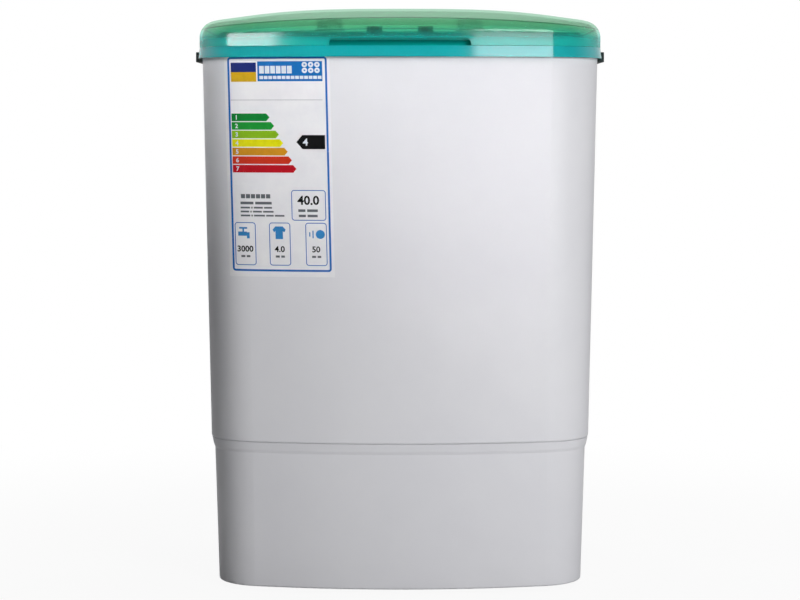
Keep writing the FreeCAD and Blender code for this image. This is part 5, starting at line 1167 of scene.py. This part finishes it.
@dataclass
class ControlDeck:
    """The panel behind the lid: dial marks round both knobs and a pointer on each knob."""

    panel_z: float = 0.5826
    mark_lift: float = 0.00012
    mark_mm: float = 0.03
    knob_top_z: float = 0.5989
    knob_y: float = 0.160
    timer_x: float = 0.080
    drain_x: float = -0.080
    tick_r: Pair = (0.0177, 0.0189)
    tick_half_deg: float = 1.0
    long_tick: float = 0.0005
    number_r: float = 0.0208
    number_h: float = 0.0029
    number_every: int = 3
    minutes: int = 15
    first_deg: float = 30.0
    last_deg: float = 330.0
    drain_deg: float = 45.0
    drain_half_deg: float = 6.0
    drain_line: float = 0.0004
    arc_step_deg: float = 6.0
    pointer_r: Pair = (0.003, 0.0122)
    pointer_half: float = 0.0012
    pointer_lift: float = 0.0001
    pointer_crown: float = 0.0005
    pointer_end: float = 0.05
    pointer_grid: tuple[int, int] = (10, 9)
    pointer_mm: float = 0.08

    def minute_deg(self, minute: int) -> float:
        """Where a minute stands on the timer's dial."""
        return self.first_deg + (self.last_deg - self.first_deg) * minute / self.minutes

    def spot(self, x: float, r: Array, degrees: Array) -> Array:
        """Points on a dial: r along a direction turned clockwise from straight back.

        Args:
            x: the dial's middle.
            r: the distance from it.
            degrees: the direction.

        Returns:
            x, y and z in the last axis.
        """
        turn = np.radians(degrees)
        z = self.panel_z + self.mark_lift + 0.0 * r
        place = (x + r * np.sin(turn), self.knob_y + r * np.cos(turn), z)
        return np.stack(np.broadcast_arrays(*place), axis=-1)

    def sector(self, mesh: PatchMesh, x: float, r: Pair, middle: float, half: float) -> None:
        """Adds a ring sector: r and angle each run over their range.

        Args:
            mesh: the marks.
            x: the dial's middle.
            r: inner and outer radius.
            middle: its middle's angle, in degrees.
            half: half its angle.
        """
        steps = max(1, math.ceil(2.0 * half / self.arc_step_deg))
        degrees = np.linspace(middle - half, middle + half, steps + 1)
        grid_t, grid_r = np.meshgrid(degrees, np.array(r), indexing="ij")
        mesh.add(self.spot(x, grid_r, grid_t))

    def marks(self) -> Piece:
        """Makes ticks each minute round the timer, and arcs over the drain selector's turn.

        Returns:
            The marks.
        """
        mesh = PatchMesh("panel_marks")
        inner, outer = self.tick_r
        for minute in range(self.minutes + 1):
            more = self.long_tick if minute % self.number_every == 0 else 0.0
            at = self.minute_deg(minute)
            self.sector(mesh, self.timer_x, (inner, outer + more), at, self.tick_half_deg)
        for at in (-self.drain_deg, self.drain_deg):
            self.sector(mesh, self.drain_x, self.tick_r, at, self.drain_half_deg)
        self.sector(mesh, self.drain_x, (inner, inner + self.drain_line), 0.0, self.drain_deg)
        return mesh.build([Ink.TEAL.material()], self.mark_mm)

    def number(self, text: str, degrees: float) -> Piece:
        """Makes a printed number on the timer's dial, its middle on the ring of numbers.

        Args:
            text: the digits.
            degrees: its place on the dial.

        Returns:
            The number.
        """
        flat, triangles = figure_faces(text)
        middle = self.spot(self.timer_x, np.array(self.number_r), np.array(degrees))
        sized = (flat - (0.0, 0.5)) * self.number_h
        raised = np.concatenate([sized, np.zeros((len(flat), 1))], axis=-1)
        mesh = PatchMesh(f"dial_number_{text}")
        mesh.join(raised + middle, triangles)
        return mesh.build([Ink.TEAL.material()], self.mark_mm)

    def pointer(self, name: str, x: float, degrees: float) -> Piece:
        """Makes a crowned bar on a knob: z = top + h (1 - w^2) over its width w from -1 to 1.

        Its half width is sqrt(1 - l^8) of the whole, with l from -1 to 1 along it.

        Args:
            name: the piece's name.
            x: the knob's middle.
            degrees: where it points at rest.

        Returns:
            The bar.
        """
        start, end = self.pointer_r
        rows, columns = self.pointer_grid
        stations = (np.linspace(start, end, rows), np.linspace(1.0, -1.0, columns))
        along, across = np.meshgrid(*stations, indexing="ij")
        turn = math.radians(degrees)
        reach = (along - (start + end) / 2) / ((end - start) / 2 + self.pointer_lift)
        side = across * self.pointer_half * np.sqrt(np.clip(1.0 - reach**8, self.pointer_end, 1.0))
        px = x + along * math.sin(turn) + side * math.cos(turn)
        py = self.knob_y + along * math.cos(turn) - side * math.sin(turn)
        pz = self.knob_top_z + self.pointer_lift + self.pointer_crown * (1.0 - across**2)
        mesh = PatchMesh(name)
        mesh.add(np.stack([px, py, pz], axis=-1)[:, ::-1])
        return mesh.build([Ink.TEAL.material()], self.pointer_mm)

    def build(self) -> None:
        """Builds the marks, the numbers and the two pointers."""
        settle(self.marks(), "cabinet")
        for minute in range(0, self.minutes + 1, self.number_every):
            number = self.number(str(minute), self.minute_deg(minute))
            settle(number, "cabinet")
        timer = self.pointer("timer_pointer", self.timer_x, self.first_deg)
        settle(timer, "timer_control")
        drain = self.pointer("drain_pointer", self.drain_x, -self.drain_deg)
        settle(drain, "drain_control")


@dataclass
class DrainValve:
    """The drain valve's spring, which shortens as the plunger lifts."""

    node: str = "valve_spring"
    wire_r: float = 0.0008
    wire_rounds: int = 3
    turns: int = 5
    turn_steps: int = 24
    lift: float = 0.012

    def wind(self, low: Array, high: Array) -> Piece:
        """Winds round wire in a box: (cx + r cos t, cy + r sin t, z), with z rising evenly.

        Args:
            low: the box's lowest corner.
            high: its highest corner.

        Returns:
            The spring as a closed mesh object.
        """
        turn = np.linspace(0.0, 2.0 * math.pi * self.turns, self.turns * self.turn_steps + 1)
        cx, cy, _ = (low + high) / 2
        r = (high[0] - low[0]) / 2 - self.wire_r
        rise = np.linspace(low[2] + self.wire_r, high[2] - self.wire_r, len(turn))
        path = (cx + r * np.cos(turn), cy + r * np.sin(turn), rise, np.ones_like(turn))
        curve = bpy.data.curves.new("spring_wire", "CURVE")
        curve.dimensions = "3D"
        wire = curve.splines.new("POLY")
        wire.points.add(len(turn) - 1)
        wire.points.foreach_set("co", np.stack(path, axis=-1).ravel())
        curve.bevel_depth = self.wire_r
        curve.bevel_resolution = self.wire_rounds
        curve.use_fill_caps = True
        mesh = mesh_of(curve)
        mesh.materials.clear()
        mesh.materials.append(ZINC_STEEL.build())
        mesh.polygons.foreach_set("use_smooth", np.ones(len(mesh.polygons), dtype=bool))
        return add_object("valve_spring_wire", mesh)

    def build(self) -> None:
        """Puts the spring in its CAD solid's place, hides that solid, and gives the spring a mesh of its own.
        """
        low, high = (np.array(corner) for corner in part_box(self.node))
        spring = self.wind(low, high)
        settle(spring, "cabinet")
        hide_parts(self.node)
        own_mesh(spring)


class Reach(Enum):
    """What a lamp does: light surfaces, or show in their gloss."""

    DIFFUSE = "diffuse"
    SHEEN = "sheen"


@dataclass(frozen=True)
class Softbox:
    """A soft rectangular lamp. A grid on it narrows its beam."""

    name: str
    place: Triple
    aim: Triple
    size: Pair
    watts: float
    reach: Reach
    grid_deg: float = 180.0

    def build(self) -> None:
        """Hangs the lamp and turns it to its aim."""
        lamp = bpy.data.lights.new(self.name, "AREA")
        lamp.shape = "RECTANGLE"
        lamp.size, lamp.size_y = self.size
        lamp.energy = self.watts
        lamp.spread = math.radians(self.grid_deg)
        holder = add_object(self.name, lamp)
        holder.location = self.place
        way = Vector(self.aim) - Vector(self.place)
        holder.rotation_euler = way.to_track_quat("-Z", "Y").to_euler()
        holder.visible_camera = False
        holder.visible_diffuse = self.reach is Reach.DIFFUSE
        holder.visible_glossy = self.reach is Reach.SHEEN
        LOG.info("lamp %s, %.1f W", self.name, self.watts)


# Where the lamps aim. The low ones at both sides show as gleams on the lid's wall and the rim.
MIDDLE: Triple = (0.0, 0.0, 0.4)
BACK: Triple = (0.0, 0.0, 0.35)
CROWN: Triple = (0.0, 0.0, 0.5)
RIGHT_WALL: Triple = (0.12, -0.18, 0.56)
RIGHT_RIM: Triple = (0.12, -0.18, 0.55)
LEFT_WALL: Triple = (-0.1, -0.1, 0.56)
LEFT_CORNER: Triple = (-0.1, -0.15, 0.62)
LAMPS = (
    Softbox("key_softbox", (1.02, -2.0, 1.0), MIDDLE, (0.8, 1.0), 33.0, Reach.DIFFUSE),
    Softbox("right_low_softbox", (0.93, -1.98, 0.60), RIGHT_WALL, (0.73, 0.24), 2.6, Reach.SHEEN),
    Softbox("right_high_softbox", (0.95, -1.96, 1.16), RIGHT_RIM, (0.72, 0.36), 5.4, Reach.SHEEN),
    Softbox("left_softbox", (-1.51, -1.42, 0.67), LEFT_WALL, (1.5, 0.3), 14.5, Reach.SHEEN),
    Softbox("corner_softbox", (-1.31, -0.99, 1.45), LEFT_CORNER, (1.0, 0.25), 0.6, Reach.DIFFUSE, 16.0),
    Softbox("top_softbox", (0.1, 0.3, 2.3), CROWN, (1.4, 1.0), 24.0, Reach.DIFFUSE),
    Softbox("rear_left_softbox", (-1.15, 2.0, 1.3), BACK, (1.0, 1.0), 15.0, Reach.DIFFUSE),
    Softbox("rear_right_softbox", (1.15, 2.0, 1.3), BACK, (1.0, 1.0), 15.0, Reach.DIFFUSE),
)


@dataclass
class Studio:
    """Floor, white surround, soft lamps and the camera."""

    ambient: float = 0.012
    room: float = 0.3
    behind_y: Pair = (-0.3, 0.3)
    above_z: Pair = (-0.02, 0.08)
    near_glow: float = 0.93
    glow_reach: Pair = (0.35, 1.1)
    fibre_mm: float = 25.0
    fibre_shades: tuple[str, str] = ("#BABABA", "#BEBEBE")
    floor_z: float = -0.0002
    floor_reach: float = 12.0
    floor_lines: int = 9
    floor_mm: float = 1.0
    camera_place: Triple = (0.0, -2.590, 0.483)
    camera_down_deg: float = 4.29
    sensor_mm: float = 36.0
    lens_mm: float = 108.0
    view_end: float = 100.0

    def surround(self) -> None:
        """A white world to look at: dim as light, and in gloss towards the camera's room."""
        world = bpy.data.worlds.new("white_surround")
        world.use_nodes = True
        tree = world.node_tree
        tree.nodes.clear()
        way = add_node(tree, "ShaderNodeTexCoord", {}, "Generated")
        _, back, up = add_node(tree, "ShaderNodeSeparateXYZ", (way,)).node.outputs
        behind = add_node(tree, "ShaderNodeMapRange", (back, *self.behind_y))
        above = add_node(tree, "ShaderNodeMapRange", (up, *self.above_z))
        bright = add_node(tree, "ShaderNodeMath", (behind, above), operation="MULTIPLY")
        mirrored = add_node(tree, "ShaderNodeMapRange", {"Value": bright, "To Min": self.room})
        path = add_node(tree, "ShaderNodeLightPath", {}).node.outputs
        shown = path["Is Camera Ray"]
        direct = add_node(tree, "ShaderNodeMath", (mirrored, shown), operation="MAXIMUM")
        for ray in ("Is Glossy Ray", "Is Transmission Ray"):
            shown = add_node(tree, "ShaderNodeMath", (shown, path[ray]), operation="MAXIMUM")
        dimmed = {"Value": shown, "To Min": self.ambient, "To Max": direct}
        strength = add_node(tree, "ShaderNodeMapRange", dimmed)
        light = add_node(tree, "ShaderNodeBackground", {"Color": linear(WHITE), "Strength": strength})
        add_node(tree, "ShaderNodeOutputWorld", {"Surface": light})
        bpy.context.scene.world = world

    def floor_material(self) -> Material:
        """Builds matt white paper that glows for the camera: a soft shadow near by, white far off.

        Returns:
            The material.
        """
        material, tree = empty_material("white_paper_sweep")
        place = add_node(tree, "ShaderNodeTexCoord", {}, "Object")
        weave = {"Vector": place, "Scale": 1.0 / (self.fibre_mm * MM)}
        fibres = add_node(tree, "ShaderNodeTexNoise", weave)
        dark, light = self.fibre_shades
        shades = {0: fibres, MIX_A: linear(dark), MIX_B: linear(light)}
        colour = add_node(tree, "ShaderNodeMix", shades, MIX_COLOUR, data_type="RGBA")
        paper = add_node(tree, "ShaderNodeBsdfDiffuse", {"Color": colour})
        glow = add_node(tree, "ShaderNodeEmission", {"Color": linear(WHITE), "Strength": 1.0})
        away = add_node(tree, "ShaderNodeVectorMath", (place,), "Value", operation="LENGTH")
        reach = (away, *self.glow_reach, self.near_glow)
        rise = add_node(tree, "ShaderNodeMapRange", reach, interpolation_type="SMOOTHSTEP")
        direct = add_node(tree, "ShaderNodeLightPath", {}, "Is Camera Ray")
        share = add_node(tree, "ShaderNodeMath", (direct, rise), operation="MULTIPLY")
        mixed = add_node(tree, "ShaderNodeMixShader", (share, paper, glow))
        add_node(tree, "ShaderNodeOutputMaterial", {"Surface": mixed})
        return material

    def floor(self) -> None:
        """A flat square under the object, on the level of its feet."""
        reach = np.linspace(-self.floor_reach, self.floor_reach, self.floor_lines)
        x, y = np.meshgrid(reach, reach, indexing="ij")
        sheet = PatchMesh("floor")
        sheet.add(np.stack([x, y, np.full_like(x, self.floor_z)], axis=-1))
        sheet.build([self.floor_material()], self.floor_mm)

    def camera(self) -> None:
        """The camera at the photograph's place, looking slightly down."""
        data = bpy.data.cameras.new("camera")
        data.sensor_width = self.sensor_mm
        data.lens = self.lens_mm
        data.clip_end = self.view_end
        holder = add_object("camera", data)
        holder.location = self.camera_place
        holder.rotation_euler = (math.radians(90.0 - self.camera_down_deg), 0.0, 0.0)
        bpy.context.scene.camera = holder

    def build(self) -> None:
        """Builds the whole studio and sets the plain view transform."""
        self.surround()
        self.floor()
        for lamp in LAMPS:
            lamp.build()
        self.camera()
        bpy.context.scene.view_settings.view_transform = "Standard"


def dress_frame() -> None:
    """Dresses every CAD node in the finish of its slot in the record."""
    materials = {slot: finish.build() for slot, finish in SLOT_FINISHES.items()}
    for row in frame["record"]["subparts"]:
        dress(row["node"], materials[row["material_slot"]])


def main() -> None:
    """Builds and dresses every sub-assembly in order."""
    logging.basicConfig(level=logging.INFO, format="%(name)s: %(message)s")
    dress_frame()
    EnergyLabel(Cabinet()).build()
    ControlDeck().build()
    DrainValve().build()
    Studio().build()


if __name__ == "__main__":
    main()
